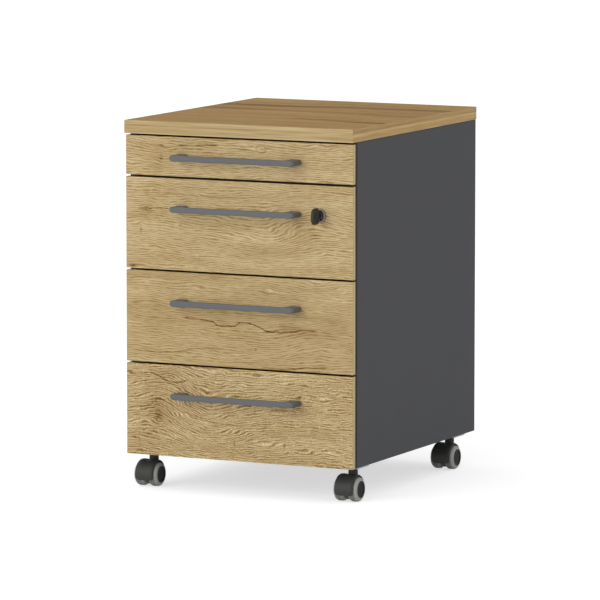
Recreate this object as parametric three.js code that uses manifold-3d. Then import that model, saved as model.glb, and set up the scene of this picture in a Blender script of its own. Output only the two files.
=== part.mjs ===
// Rolling pedestal cabinet with four drawers, a cam lock and four twin-wheel castors.
// Millimetres, +Z up, origin on the floor under the middle of the cabinet, drawers open towards -Y.

import * as THREE from 'three';
import { mergeVertices } from 'three/addons/utils/BufferGeometryUtils.js';
import Module from 'manifold-3d';

const wasm = await Module();
wasm.setup();

// Clearances
const joinGap = 0.3;
const runClearance = 0.3;
const sideClearance = 0.8;

// Cabinet body
const bodyWidth = 420;
const bodyHeight = 562.5;
const carcassDepth = 475;
const panelThickness = 16;
const backThickness = 8;
const topThickness = 22;
const topSideOverhang = 1.5;
const topFrontOverhang = 3.5;

// Drawer fronts
const frontThickness = 12;
const bumperGap = 4;
const topSeam = 3;
const frontSeam = 2.5;
const slimFrontHeight = 66.5;
const tallDrawerCount = 3;

// Drawer boxes
const boxWall = 12;
const slimBoxLift = 9;
const slimBoxHeadroom = 12.5;
const tallBoxLift = 22;
const tallBoxHeadroom = 22.5;
const bottomThickness = 3;
const bottomRise = 10;
const grooveDepth = 6;

// Roller runners
const runnerRoom = 12.5;
const runnerSetback = 2.5;
const runnerRearGap = 14.5;
const runnerSheet = 1.2;
const channelHeight = 21;
const rollerDiameter = 17;
const rollerWidth = 6.6;
const rollerInset = 12;
const rollerPinDiameter = 6;
const seatFlangeWidth = 10;

// Bow handles
const handleLength = 232;
const handleProjection = 29;
const handleBarHeight = 9.5;
const handleBarThickness = 7;
const handleFootWidth = 23;
const handleOuterRadius = 6;
const handleInnerRadius = 12;
const handleDrop = 50;

// Cam lock in the second drawer front, and the rail that its cam hooks behind
const lockSideInset = 60.5;
const rosetteDiameter = 23;
const rosetteThickness = 2.5;
const barrelDiameter = 18;
const barrelLength = 22;
const plugDiameter = 12;
const plugHead = 0.6;
const nutWidth = 24;
const nutThickness = 3.5;
const camLength = 46;
const camWidth = 14;
const camThickness = 2;
const camPlay = 1.2;
const railHeight = 18;
const railDepth = 6;
const railSheet = 2;
const railRise = 3;

// Key
const bladeThickness = 2.2;
const bladeHeight = 8;
const bladeInPlug = 17;
const bladeInBow = 8;
const keyNeck = 2.9;
const bowDepth = 23;
const bowHeight = 27;
const bowThickness = 6;
const bowCornerRadius = 7;

// Castors
const castorHeight = 58.5;
const castorSideInset = 24;
const castorFrontInset = 36;
const castorRearInset = 52;
const castorTrail = 15;
const plateSize = 42;
const plateThickness = 2.5;
const plateCornerRadius = 5;
const screwHoleDiameter = 4.5;
const screwHoleInset = 6;
const kingpinDiameter = 8;
const kingpinLength = 12;
const neckDiameter = 16;
const neckLength = 23;
const hoodRadius = 25;
const hoodThickness = 2.7;
const hoodWidth = 33;
const hoodFrontDrop = THREE.MathUtils.degToRad(18);
const webThickness = 6;
const webRadius = 17.5;
const axleDiameter = 5.4;
const axleLength = 35.4;

// Castor wheels
const wheelRadius = 20.5;
const castorWidth = 44;
const wheelSideGap = 0.6;
const treadChamfer = 4.5;
const treadFlat = 7;
const hubRadius = 14.3;
const hubRim = 1.8;
const hubDish = 1;
const shoulderRise = 0.4;

// Facets of round pieces; a wheel's count divides by four, so that it stands on a flat
const wheelFacets = 28;
const roundFacets = 24;
const smallFacets = 12;
const hoodSteps = 10;
const cornerSteps = 4;

// Places worked out from the sizes
const frontBackY = frontThickness;
const carcassFrontY = frontThickness + bumperGap;
const carcassBackY = carcassFrontY + carcassDepth;
const topUnderZ = bodyHeight - topThickness;
const panelInnerX = bodyWidth / 2 - panelThickness;
const boxOuterX = panelInnerX - runnerRoom;
const boxInnerX = boxOuterX - boxWall;
const runnerLength = carcassDepth - backThickness - runnerSetback - runnerRearGap;
const boxFrontY = frontBackY + joinGap;
const boxBackY = boxFrontY + runnerLength;
const slimFrontBaseZ = topUnderZ - topSeam - slimFrontHeight;
const tallFrontHeight = slimFrontBaseZ / tallDrawerCount - frontSeam;
const slimBoxHeight = slimFrontHeight - slimBoxLift - slimBoxHeadroom;
const tallBoxHeight = tallFrontHeight - tallBoxLift - tallBoxHeadroom;
const lockX = bodyWidth / 2 - lockSideInset;
const plugFaceY = -joinGap - rosetteThickness - plugHead;
const bowBackY = plugFaceY - keyNeck;
const keyFrontY = bowBackY - bowDepth;
const frontReach = Math.max(handleProjection + joinGap, -keyFrontY);
const overallDepth = frontReach + carcassBackY;

// Finishes
const finishes = {
  oak: { color: 0xbaa273, roughness: 0.55, metalness: 0 },
  anthracite: { color: 0x4f4f51, roughness: 0.6, metalness: 0 },
  drawerBoard: { color: 0x8b8a86, roughness: 0.6, metalness: 0 },
  runnerSteel: { color: 0xc9cac8, roughness: 0.4, metalness: 0.6 },
  handleMetal: { color: 0x6a6b6f, roughness: 0.4, metalness: 0.8 },
  nickel: { color: 0x9b9a96, roughness: 0.25, metalness: 1 },
  steel: { color: 0xa9abad, roughness: 0.35, metalness: 1 },
  blackPlastic: { color: 0x3c3c3b, roughness: 0.5, metalness: 0 },
  greyTread: { color: 0x9b9c96, roughness: 0.6, metalness: 0 },
};

const group = new THREE.Group();

// Shared makers

function addMesh(parent, name, geometry, finish) {
  const mesh = new THREE.Mesh(geometry, new THREE.MeshStandardMaterial(finishes[finish]));
  mesh.name = name;
  parent.add(mesh);
  return mesh;
}

function boxBetween(xRange, yRange, zRange) {
  const [x0, x1] = xRange;
  const [y0, y1] = yRange;
  const [z0, z1] = zRange;
  const geometry = new THREE.BoxGeometry(x1 - x0, y1 - y0, z1 - z0);
  return geometry.translate((x0 + x1) / 2, (y0 + y1) / 2, (z0 + z1) / 2);
}

function solidOf(geometry) {
  const bare = geometry.clone();
  bare.deleteAttribute('normal');
  bare.deleteAttribute('uv');
  const merged = mergeVertices(bare);
  const vertProperties = new Float32Array(merged.attributes.position.array);
  const triVerts = new Uint32Array(merged.index.array);
  return new wasm.Manifold(new wasm.Mesh({ numProp: 3, vertProperties, triVerts }));
}

function geometryOf(solid) {
  const mesh = solid.getMesh();
  const geometry = new THREE.BufferGeometry();
  geometry.setAttribute('position', new THREE.BufferAttribute(mesh.vertProperties, 3));
  geometry.setIndex(new THREE.BufferAttribute(mesh.triVerts, 1));
  return geometry;
}

function joined(...geometries) {
  return geometries.map(solidOf).reduce((whole, next) => whole.add(next));
}

function extruded(shape, depth, curveSegments = cornerSteps) {
  return new THREE.ExtrudeGeometry(shape, { depth, bevelEnabled: false, curveSegments });
}

// A shape drawn in X and Z, run along Y
function alongY(shape, y0, y1, curveSegments) {
  const turn = new THREE.Matrix4().makeBasis(
    new THREE.Vector3(1, 0, 0),
    new THREE.Vector3(0, 0, 1),
    new THREE.Vector3(0, -1, 0),
  );
  return extruded(shape, y1 - y0, curveSegments).applyMatrix4(turn).translate(0, y1, 0);
}

// A shape drawn in Y and Z, run along X and centred on X = 0
function alongX(shape, width, curveSegments) {
  const turn = new THREE.Matrix4().makeBasis(
    new THREE.Vector3(0, 1, 0),
    new THREE.Vector3(0, 0, 1),
    new THREE.Vector3(1, 0, 0),
  );
  return extruded(shape, width, curveSegments).applyMatrix4(turn).translate(-width / 2, 0, 0);
}

function cylinderX(diameter, x0, x1, y, z, facets) {
  const geometry = new THREE.CylinderGeometry(diameter / 2, diameter / 2, Math.abs(x1 - x0), facets);
  return geometry.rotateZ(Math.PI / 2).translate((x0 + x1) / 2, y, z);
}

function cylinderY(diameter, x, y0, y1, z, facets) {
  const geometry = new THREE.CylinderGeometry(diameter / 2, diameter / 2, y1 - y0, facets);
  return geometry.translate(x, (y0 + y1) / 2, z);
}

function cylinderZ(diameter, x, y, z0, z1, facets) {
  const geometry = new THREE.CylinderGeometry(diameter / 2, diameter / 2, z1 - z0, facets);
  return geometry.rotateX(Math.PI / 2).translate(x, y, (z0 + z1) / 2);
}

function polygon(points) {
  return new THREE.Shape(points.map(([x, y]) => new THREE.Vector2(x, y)));
}

function roundedRectangle(x0, x1, y0, y1, radius) {
  const shape = new THREE.Shape();
  shape.absarc(x1 - radius, y0 + radius, radius, -Math.PI / 2, 0, false);
  shape.absarc(x1 - radius, y1 - radius, radius, 0, Math.PI / 2, false);
  shape.absarc(x0 + radius, y1 - radius, radius, Math.PI / 2, Math.PI, false);
  shape.absarc(x0 + radius, y0 + radius, radius, Math.PI, 1.5 * Math.PI, false);
  return shape;
}

function circleHole(x, y, diameter) {
  const hole = new THREE.Path();
  hole.absarc(x, y, diameter / 2, 0, 2 * Math.PI, true);
  return hole;
}

// Carcass

function sidePanel(side) {
  const inner = side * panelInnerX;
  const outer = side * bodyWidth / 2;
  const xRange = [Math.min(inner, outer), Math.max(inner, outer)];
  return boxBetween(xRange, [carcassFrontY, carcassBackY], [0, topUnderZ - joinGap]);
}

function topBoard() {
  const halfWidth = bodyWidth / 2 + topSideOverhang;
  return boxBetween([-halfWidth, halfWidth], [-topFrontOverhang, carcassBackY], [topUnderZ, bodyHeight]);
}

function bottomBoard() {
  const halfWidth = panelInnerX - joinGap;
  const backY = carcassBackY - backThickness - joinGap;
  return boxBetween([-halfWidth, halfWidth], [carcassFrontY, backY], [0, panelThickness]);
}

function backPanel() {
  const halfWidth = panelInnerX - joinGap;
  const yRange = [carcassBackY - backThickness, carcassBackY];
  return boxBetween([-halfWidth, halfWidth], yRange, [0, topUnderZ - joinGap]);
}

// Folded steel angle between the side panels, just behind the seam under the slim drawer
function lockRail() {
  const halfWidth = panelInnerX - joinGap;
  const topZ = slimFrontBaseZ + railRise;
  const backY = carcassFrontY + railDepth;
  const outline = polygon([
    [carcassFrontY, topZ - railSheet],
    [backY - railSheet, topZ - railSheet],
    [backY - railSheet, topZ - railHeight],
    [backY, topZ - railHeight],
    [backY, topZ],
    [carcassFrontY, topZ],
  ]);
  return alongX(outline, 2 * halfWidth);
}

function addCarcass(parent) {
  addMesh(parent, 'top_board', topBoard(), 'oak');
  addMesh(parent, 'left_side_panel', sidePanel(-1), 'anthracite');
  addMesh(parent, 'right_side_panel', sidePanel(1), 'anthracite');
  addMesh(parent, 'bottom_board', bottomBoard(), 'anthracite');
  addMesh(parent, 'back_panel', backPanel(), 'anthracite');
  addMesh(parent, 'lock_rail', lockRail(), 'steel');
}

// Runners; base is the height of the box's lower edge, which lies level with the channel's floor

function cabinetRunner(side, base) {
  const wall = panelInnerX - joinGap;
  const web = wall - runnerSheet;
  const lip = boxOuterX + joinGap + runnerSheet + sideClearance;
  const floorZ = base;
  const roofZ = base + channelHeight;
  const outline = polygon([
    [side * wall, floorZ - runnerSheet],
    [side * lip, floorZ - runnerSheet],
    [side * lip, floorZ],
    [side * web, floorZ],
    [side * web, roofZ],
    [side * lip, roofZ],
    [side * lip, roofZ + runnerSheet],
    [side * wall, roofZ + runnerSheet],
  ]);
  const startY = carcassFrontY + runnerSetback;
  const rollerY = startY + rollerInset;
  const rollerZ = floorZ + runClearance + rollerDiameter / 2;
  const rollerOuter = web - sideClearance;
  const channel = alongY(outline, startY, startY + runnerLength);
  const pin = cylinderX(
    rollerPinDiameter,
    side * (wall - runnerSheet / 2),
    side * (rollerOuter - rollerWidth / 2),
    rollerY,
    rollerZ,
    smallFacets,
  );
  const roller = cylinderX(
    rollerDiameter,
    side * rollerOuter,
    side * (rollerOuter - rollerWidth),
    rollerY,
    rollerZ,
    roundFacets,
  );
  return geometryOf(joined(channel, pin, roller));
}

function drawerRunner(side, base) {
  const inner = boxOuterX + joinGap;
  const web = inner + runnerSheet;
  const seat = boxOuterX - seatFlangeWidth;
  const lip = panelInnerX - joinGap - runnerSheet - sideClearance;
  const seatZ = base - joinGap;
  const lipZ = base + runClearance + rollerDiameter + runClearance;
  const outline = polygon([
    [side * seat, seatZ - runnerSheet],
    [side * web, seatZ - runnerSheet],
    [side * web, lipZ],
    [side * lip, lipZ],
    [side * lip, lipZ + runnerSheet],
    [side * inner, lipZ + runnerSheet],
    [side * inner, seatZ],
    [side * seat, seatZ],
  ]);
  const endY = boxFrontY + runnerLength;
  const rollerY = endY - rollerInset;
  const rollerZ = base + runClearance + rollerDiameter / 2;
  const rollerInner = web + sideClearance;
  const profile = alongY(outline, boxFrontY, endY);
  const pin = cylinderX(
    rollerPinDiameter,
    side * (inner + runnerSheet / 2),
    side * (rollerInner + rollerWidth / 2),
    rollerY,
    rollerZ,
    smallFacets,
  );
  const roller = cylinderX(
    rollerDiameter,
    side * rollerInner,
    side * (rollerInner + rollerWidth),
    rollerY,
    rollerZ,
    roundFacets,
  );
  return geometryOf(joined(profile, pin, roller));
}

// Drawers

function drawerFront(zRange, lockZ) {
  const [z0, z1] = zRange;
  const halfWidth = bodyWidth / 2;
  if (lockZ === undefined) {
    return boxBetween([-halfWidth, halfWidth], [0, frontThickness], [z0, z1]);
  }
  const outline = polygon([[-halfWidth, z0], [halfWidth, z0], [halfWidth, z1], [-halfWidth, z1]]);
  outline.holes.push(circleHole(lockX, lockZ, barrelDiameter + 2 * joinGap));
  return alongY(outline, 0, frontThickness, roundFacets / 2);
}

// Two sides and a back wrapped from one board, with a groove that holds the bottom
function drawerBox(base, height) {
  const outer = solidOf(boxBetween([-boxOuterX, boxOuterX], [boxFrontY, boxBackY], [base, base + height]));
  const inside = solidOf(boxBetween(
    [-boxInnerX, boxInnerX],
    [boxFrontY - boxWall, boxBackY - boxWall],
    [base - boxWall, base + height + boxWall],
  ));
  const grooveX = boxInnerX + grooveDepth;
  const groove = solidOf(boxBetween(
    [-grooveX, grooveX],
    [boxFrontY - boxWall, boxBackY - boxWall + grooveDepth],
    [base + bottomRise, base + bottomRise + bottomThickness + 2 * joinGap],
  ));
  return geometryOf(outer.subtract(inside).subtract(groove));
}

function drawerBottom(base) {
  const halfWidth = boxInnerX + grooveDepth - joinGap;
  const backY = boxBackY - boxWall + grooveDepth - joinGap;
  const z0 = base + bottomRise + joinGap;
  return boxBetween([-halfWidth, halfWidth], [boxFrontY, backY], [z0, z0 + bottomThickness]);
}

// Flat bar bent back into two broad feet; the plan is drawn in X and Y and raised along Z
function bowHandle(z) {
  const half = handleLength / 2;
  const frontY = -joinGap - handleProjection;
  const gapHalf = half - handleFootWidth;
  const gapFrontY = frontY + handleBarThickness;
  const plan = new THREE.Shape();
  plan.moveTo(half, -joinGap);
  plan.lineTo(gapHalf, -joinGap);
  const innerX = gapHalf - handleInnerRadius;
  const innerY = gapFrontY + handleInnerRadius;
  plan.absarc(innerX, innerY, handleInnerRadius, 0, -Math.PI / 2, true);
  plan.absarc(-innerX, innerY, handleInnerRadius, 1.5 * Math.PI, Math.PI, true);
  plan.lineTo(-gapHalf, -joinGap);
  plan.lineTo(-half, -joinGap);
  const outerX = half - handleOuterRadius;
  const outerY = frontY + handleOuterRadius;
  plan.absarc(-outerX, outerY, handleOuterRadius, Math.PI, 1.5 * Math.PI, false);
  plan.absarc(outerX, outerY, handleOuterRadius, 1.5 * Math.PI, 2 * Math.PI, false);
  return extruded(plan, handleBarHeight).translate(0, 0, z - handleBarHeight / 2);
}

function addDrawer(parent, number, zRange, boxHeight, boxLift, handleZ, lockZ) {
  const base = zRange[0] + boxLift;
  const name = `drawer_${number}`;
  addMesh(parent, `${name}_front`, drawerFront(zRange, lockZ), 'oak');
  addMesh(parent, `${name}_box`, drawerBox(base, boxHeight), 'drawerBoard');
  addMesh(parent, `${name}_bottom`, drawerBottom(base), 'drawerBoard');
  addMesh(parent, `${name}_handle`, bowHandle(handleZ), 'handleMetal');
  addMesh(parent, `${name}_left_runner`, drawerRunner(-1, base), 'runnerSteel');
  addMesh(parent, `${name}_right_runner`, drawerRunner(1, base), 'runnerSteel');
  addMesh(parent, `cabinet_${number}_left_runner`, cabinetRunner(-1, base), 'runnerSteel');
  addMesh(parent, `cabinet_${number}_right_runner`, cabinetRunner(1, base), 'runnerSteel');
}

// Lock, centred on X = 0 and Z = 0 of its own group

function lockHousing() {
  const faceY = -joinGap - rosetteThickness;
  const rosette = cylinderY(rosetteDiameter, 0, faceY, -joinGap, 0, roundFacets);
  const barrel = cylinderY(barrelDiameter, 0, faceY / 2, barrelLength - joinGap, 0, roundFacets);
  const bore = cylinderY(plugDiameter + 2 * joinGap, 0, -rosetteDiameter, 2 * barrelLength, 0, roundFacets);
  return geometryOf(joined(rosette, barrel).subtract(solidOf(bore)));
}

function lockNut() {
  const sides = 6;
  const corner = nutWidth / 2 / Math.cos(Math.PI / sides);
  const angles = Array.from({ length: sides }, (_, i) => i * 2 * Math.PI / sides);
  const outline = polygon(angles.map((angle) => [corner * Math.cos(angle), corner * Math.sin(angle)]));
  outline.holes.push(circleHole(0, 0, barrelDiameter + 2 * joinGap));
  const y0 = frontBackY + joinGap;
  return alongY(outline, y0, y0 + nutThickness, roundFacets / 2);
}

function lockPlug(camFrontY) {
  const body = cylinderY(plugDiameter, 0, plugFaceY, camFrontY - joinGap, 0, roundFacets);
  const slotHalf = bladeThickness / 2 + joinGap;
  const slotRise = bladeHeight / 2 + joinGap;
  const slotEndY = plugFaceY + bladeInPlug + joinGap;
  const slotY = [plugFaceY - bladeInPlug, slotEndY];
  const keyway = boxBetween([-slotHalf, slotHalf], slotY, [-slotRise, slotRise]);
  return geometryOf(solidOf(body).subtract(solidOf(keyway)));
}

// Pointing to -X while the lock is open
function lockCam(camFrontY) {
  const half = camWidth / 2;
  const outline = roundedRectangle(-camLength, half, -half, half, half);
  return alongY(outline, camFrontY, camFrontY + camThickness);
}

function keyBlade() {
  const yRange = [bowBackY - bladeInBow, plugFaceY + bladeInPlug];
  return boxBetween([-bladeThickness / 2, bladeThickness / 2], yRange, [-bladeHeight / 2, bladeHeight / 2]);
}

function keyBow() {
  const outline = roundedRectangle(keyFrontY, bowBackY, -bowHeight / 2, bowHeight / 2, bowCornerRadius);
  const head = solidOf(alongX(outline, bowThickness));
  const pocketHalf = bladeThickness / 2 + joinGap;
  const pocketRise = bladeHeight / 2 + joinGap;
  const pocket = boxBetween(
    [-pocketHalf, pocketHalf],
    [bowBackY - bladeInBow - joinGap, bowBackY + keyNeck],
    [-pocketRise, pocketRise],
  );
  return geometryOf(head.subtract(solidOf(pocket)));
}

function addLock(parent, lockZ) {
  const lock = new THREE.Group();
  const camFrontY = carcassFrontY + railDepth + camPlay;
  lock.position.set(lockX, 0, lockZ);
  addMesh(lock, 'lock_housing', lockHousing(), 'nickel');
  addMesh(lock, 'lock_nut', lockNut(), 'steel');
  addMesh(lock, 'lock_plug', lockPlug(camFrontY), 'nickel');
  addMesh(lock, 'lock_cam', lockCam(camFrontY), 'steel');
  addMesh(lock, 'key_blade', keyBlade(), 'nickel');
  addMesh(lock, 'key_bow', keyBow(), 'blackPlastic');
  parent.add(lock);
}

// Castors, each with its swivel axis on X = 0 and Y = 0 of its own group and Z = 0 under the body

const axleZ = wheelRadius - castorHeight;
const neckTopZ = -plateThickness - 2 * joinGap;

function castorPlate() {
  const half = plateSize / 2;
  const hole = half - screwHoleInset;
  const outline = roundedRectangle(-half, half, -half, half, plateCornerRadius);
  for (const [x, y] of [[hole, hole], [hole, -hole], [-hole, hole], [-hole, -hole]]) {
    outline.holes.push(circleHole(x, y, screwHoleDiameter));
  }
  const plateZ = -joinGap - plateThickness;
  const plate = extruded(outline, plateThickness).translate(0, 0, plateZ);
  const pinTopZ = plateZ + plateThickness / 2;
  const kingpin = cylinderZ(kingpinDiameter, 0, 0, plateZ - kingpinLength, pinTopZ, smallFacets);
  return geometryOf(joined(plate, kingpin));
}

// Sector of a ring about the axle, from the front lip over the top to the axle's level behind
function ringSector(outerRadius, innerRadius) {
  const startAngle = 0;
  const endAngle = Math.PI + hoodFrontDrop;
  const sector = new THREE.Shape();
  sector.absarc(0, 0, outerRadius, startAngle, endAngle, false);
  sector.absarc(0, 0, innerRadius, endAngle, startAngle, true);
  return sector;
}

function castorHood() {
  const innerRadius = hoodRadius - hoodThickness;
  const overlap = hoodThickness / 2;
  const band = alongX(ringSector(hoodRadius, innerRadius), hoodWidth, hoodSteps);
  const web = alongX(ringSector(innerRadius + overlap, axleDiameter / 2), webThickness, hoodSteps);
  const disc = cylinderX(2 * webRadius, -webThickness / 2, webThickness / 2, 0, 0, roundFacets);
  const axle = cylinderX(axleDiameter, -axleLength / 2, axleLength / 2, 0, 0, smallFacets);
  const neckZ = neckTopZ - axleZ;
  const neck = cylinderZ(neckDiameter, 0, castorTrail, neckZ - neckLength, neckZ, roundFacets);
  const wheelRoom = cylinderX(2 * innerRadius, -neckDiameter, neckDiameter, 0, 0, wheelFacets);
  const boreDiameter = kingpinDiameter + 2 * runClearance;
  const boreFloorZ = neckZ - kingpinLength;
  const bore = cylinderZ(boreDiameter, 0, castorTrail, boreFloorZ, neckZ + kingpinLength, smallFacets);
  const shell = joined(band, web, disc, axle).add(solidOf(neck).subtract(solidOf(wheelRoom)));
  return geometryOf(shell.subtract(solidOf(bore))).translate(0, -castorTrail, axleZ);
}

// Profile in radius and distance from the castor's middle plane, from the blind bore's end outwards
function castorWheel(side) {
  const flatToCorner = 1 / Math.cos(Math.PI / wheelFacets);
  const treadRadius = wheelRadius * flatToCorner;
  const boreRadius = axleDiameter / 2 + runClearance;
  const boreEnd = axleLength / 2 + runClearance;
  const innerFace = webThickness / 2 + wheelSideGap;
  const outerFace = castorWidth / 2;
  const treadStart = innerFace + treadChamfer;
  const treadEnd = treadStart + treadFlat;
  const shoulderEnd = outerFace - shoulderRise;
  const shoulderWidth = shoulderEnd - treadEnd;
  const shoulderDrop = treadRadius - hubRadius;
  const profile = [[0, boreEnd], [boreRadius, boreEnd], [boreRadius, innerFace]];
  profile.push([treadRadius - treadChamfer, innerFace], [treadRadius, treadStart]);
  for (let i = 0; i <= cornerSteps; i += 1) {
    const angle = i * Math.PI / 2 / cornerSteps;
    const radius = treadRadius - shoulderDrop * (1 - Math.cos(angle));
    profile.push([radius, treadEnd + shoulderWidth * Math.sin(angle)]);
  }
  profile.push([hubRadius, outerFace], [hubRadius - hubRim, outerFace]);
  profile.push([hubRadius - 2 * hubRim, outerFace - hubDish], [0, outerFace - hubDish]);
  const points = profile.map(([radius, offset]) => new THREE.Vector2(radius, offset));
  const lathe = new THREE.LatheGeometry(points, wheelFacets, Math.PI / wheelFacets);
  const turned = lathe.rotateZ(-side * Math.PI / 2);
  return geometryOf(solidOf(turned)).translate(0, -castorTrail, axleZ);
}

function addCastor(parent, name, x, y) {
  const castor = new THREE.Group();
  castor.position.set(x, y, 0);
  addMesh(castor, `${name}_plate`, castorPlate(), 'steel');
  addMesh(castor, `${name}_hood`, castorHood(), 'blackPlastic');
  addMesh(castor, `${name}_left_wheel`, castorWheel(-1), 'greyTread');
  addMesh(castor, `${name}_right_wheel`, castorWheel(1), 'greyTread');
  parent.add(castor);
}

function addCastors(parent) {
  const x = bodyWidth / 2 - castorSideInset;
  const frontY = carcassFrontY + castorFrontInset;
  const rearY = carcassBackY - castorRearInset;
  addCastor(parent, 'castor_front_left', -x, frontY);
  addCastor(parent, 'castor_front_right', x, frontY);
  addCastor(parent, 'castor_rear_left', -x, rearY);
  addCastor(parent, 'castor_rear_right', x, rearY);
}

function addDrawers(parent) {
  const slimRange = [slimFrontBaseZ, slimFrontBaseZ + slimFrontHeight];
  const slimHandleZ = slimFrontBaseZ + slimFrontHeight / 2;
  addDrawer(parent, 1, slimRange, slimBoxHeight, slimBoxLift, slimHandleZ);
  for (let i = 0; i < tallDrawerCount; i += 1) {
    const topZ = slimFrontBaseZ - frontSeam - i * (tallFrontHeight + frontSeam);
    const range = [topZ - tallFrontHeight, topZ];
    const handleZ = topZ - handleDrop;
    const lockZ = i === 0 ? handleZ : undefined;
    addDrawer(parent, i + 2, range, tallBoxHeight, tallBoxLift, handleZ, lockZ);
    if (i === 0) {
      addLock(parent, lockZ);
    }
  }
}

// The cabinet's own frame has Y = 0 on the drawer fronts' faces and Z = 0 under the body
const cabinet = new THREE.Group();
cabinet.position.set(0, frontReach - overallDepth / 2, castorHeight);
addCarcass(cabinet);
addDrawers(cabinet);
addCastors(cabinet);
group.add(cabinet);

export default group;
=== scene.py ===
"""Looks of a rolling pedestal cabinet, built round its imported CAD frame.

Sizes in this file are millimetres where they don't say metres, and meshes are in metres. +Z is up, the drawers open
towards -Y, and the origin lies on the floor under the middle of the cabinet.
"""

import logging
import math
from collections.abc import Callable, Sequence
from dataclasses import dataclass, field
from enum import Enum
from functools import cache

import bpy
import numpy as np
from numpy.typing import NDArray
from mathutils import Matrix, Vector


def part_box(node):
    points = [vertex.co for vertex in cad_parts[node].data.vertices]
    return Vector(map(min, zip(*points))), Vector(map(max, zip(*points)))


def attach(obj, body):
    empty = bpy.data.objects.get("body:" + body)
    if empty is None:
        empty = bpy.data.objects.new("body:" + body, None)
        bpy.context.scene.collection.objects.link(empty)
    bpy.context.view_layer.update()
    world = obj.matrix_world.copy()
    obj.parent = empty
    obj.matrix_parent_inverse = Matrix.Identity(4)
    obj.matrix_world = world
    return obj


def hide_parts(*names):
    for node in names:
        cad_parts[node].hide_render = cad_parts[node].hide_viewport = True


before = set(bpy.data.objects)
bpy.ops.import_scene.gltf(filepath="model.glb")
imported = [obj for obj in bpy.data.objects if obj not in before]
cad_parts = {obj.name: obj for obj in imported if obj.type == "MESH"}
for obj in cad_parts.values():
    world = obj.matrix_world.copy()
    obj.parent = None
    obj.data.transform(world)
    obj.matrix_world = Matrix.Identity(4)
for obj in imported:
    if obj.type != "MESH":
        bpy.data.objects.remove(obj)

LOG = logging.getLogger("cabinet")
MM = 0.001
QUARTER = math.pi / 2
Points = NDArray[np.float64]


class Axis(Enum):
    """One of the row frame's three directions."""

    X = 0
    Y = 1
    Z = 2

    @property
    def others(self) -> tuple[int, int]:
        """The two other directions, in the order that keeps the frame right-handed."""
        return (self.value + 1) % 3, (self.value + 2) % 3


class Side(Enum):
    """Left or right of the cabinet, seen from the front."""

    LEFT = -1
    RIGHT = 1

    @property
    def word(self) -> str:
        """The side's name in lower case."""
        return self.name.lower()


def linear(code: str) -> tuple[float, float, float, float]:
    """Turns an sRGB hex colour into the linear colour that a shader wants.

    Args:
        code: the colour as "#rrggbb".

    Returns:
        Linear red, green and blue, and an alpha of one.
    """
    values = [int(code[i : i + 2], 16) / 255 for i in (1, 3, 5)]
    red, green, blue = (v / 12.92 if v <= 0.04045 else ((v + 0.055) / 1.055) ** 2.4 for v in values)
    return red, green, blue, 1.0


# Surfaces


@dataclass
class Shell:
    """A closed surface.

    Attributes:
        points: its points in millimetres, one row each.
        quads: its four-sided faces, as rows of point numbers.
        lids: its flat faces with any number of corners.
    """

    points: Points
    quads: NDArray[np.int64]
    lids: list[list[int]] = field(default_factory=list)

    def volume(self) -> float:
        """Six times the enclosed volume: the sum of the faces' corner products, fanned from their first corners.

        Returns:
            That volume, below nought where the faces point in.
        """
        p = self.points - self.points.mean(0)
        a, b, c, d = (p[self.quads[:, k]] for k in range(4))
        total = (np.cross(a, b) * c).sum() + (np.cross(a, c) * d).sum()
        for lid in self.lids:
            ring = p[np.array(lid)]
            total += (np.cross(ring[1:-1], ring[2:]) @ ring[0]).sum()
        return float(total)

    def outward(self) -> "Shell":
        """Turns the faces out where they point in.

        Returns:
            The same surface.
        """
        if self.volume() < 0:
            self.quads = self.quads[:, ::-1]
            self.lids = [lid[::-1] for lid in self.lids]
        return self


def skin(grid: Points, ring: bool = False) -> Shell:
    """Skins a stack of closed loops.

    Point (i, j) makes a face with (i, j + 1), (i + 1, j + 1) and (i + 1, j), where j is counted round the loop. The
    first and the last loop get a flat lid, unless the stack closes on itself.

    Args:
        grid: loops by points by three coordinates.
        ring: whether the last loop joins the first.

    Returns:
        The closed surface, facing out.
    """
    rows, columns = grid.shape[:2]
    i = np.arange(rows if ring else rows - 1)[:, None]
    j = np.arange(columns)[None, :]
    below, above, after = i * columns, (i + 1) % rows * columns, (j + 1) % columns
    corners = [below + j, below + after, above + after, above + j]
    quads = np.stack(np.broadcast_arrays(*corners), -1).reshape(-1, 4)
    first, last = np.arange(columns), np.arange(columns) + (rows - 1) * columns
    lids = [] if ring else [first[::-1].tolist(), last.tolist()]
    return Shell(grid.reshape(-1, 3), quads, lids).outward()


def placed(flat: Points, height: Points | float, axis: Axis) -> Points:
    """Stands flat points up along an axis.

    Args:
        flat: points whose last two numbers lie along the axis' two others.
        height: the distance along the axis, for all or for each.
        axis: the direction of the height.

    Returns:
        The points in three coordinates.
    """
    out = np.empty(flat.shape[:-1] + (3,))
    first, second = axis.others
    out[..., first], out[..., second], out[..., axis.value] = flat[..., 0], flat[..., 1], height
    return out


def unit(rows: Points) -> Points:
    """The rows, each made one long."""
    return rows / np.linalg.norm(rows, axis=1, keepdims=True)


def spokes(turn: Points) -> Points:
    """Directions at those angles, in radians."""
    return np.stack([np.cos(turn), np.sin(turn)], -1)


def circle(count: int) -> Points:
    """A circle of radius one, as evenly spaced points."""
    return spokes(np.arange(count) * 2 * math.pi / count)


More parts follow.
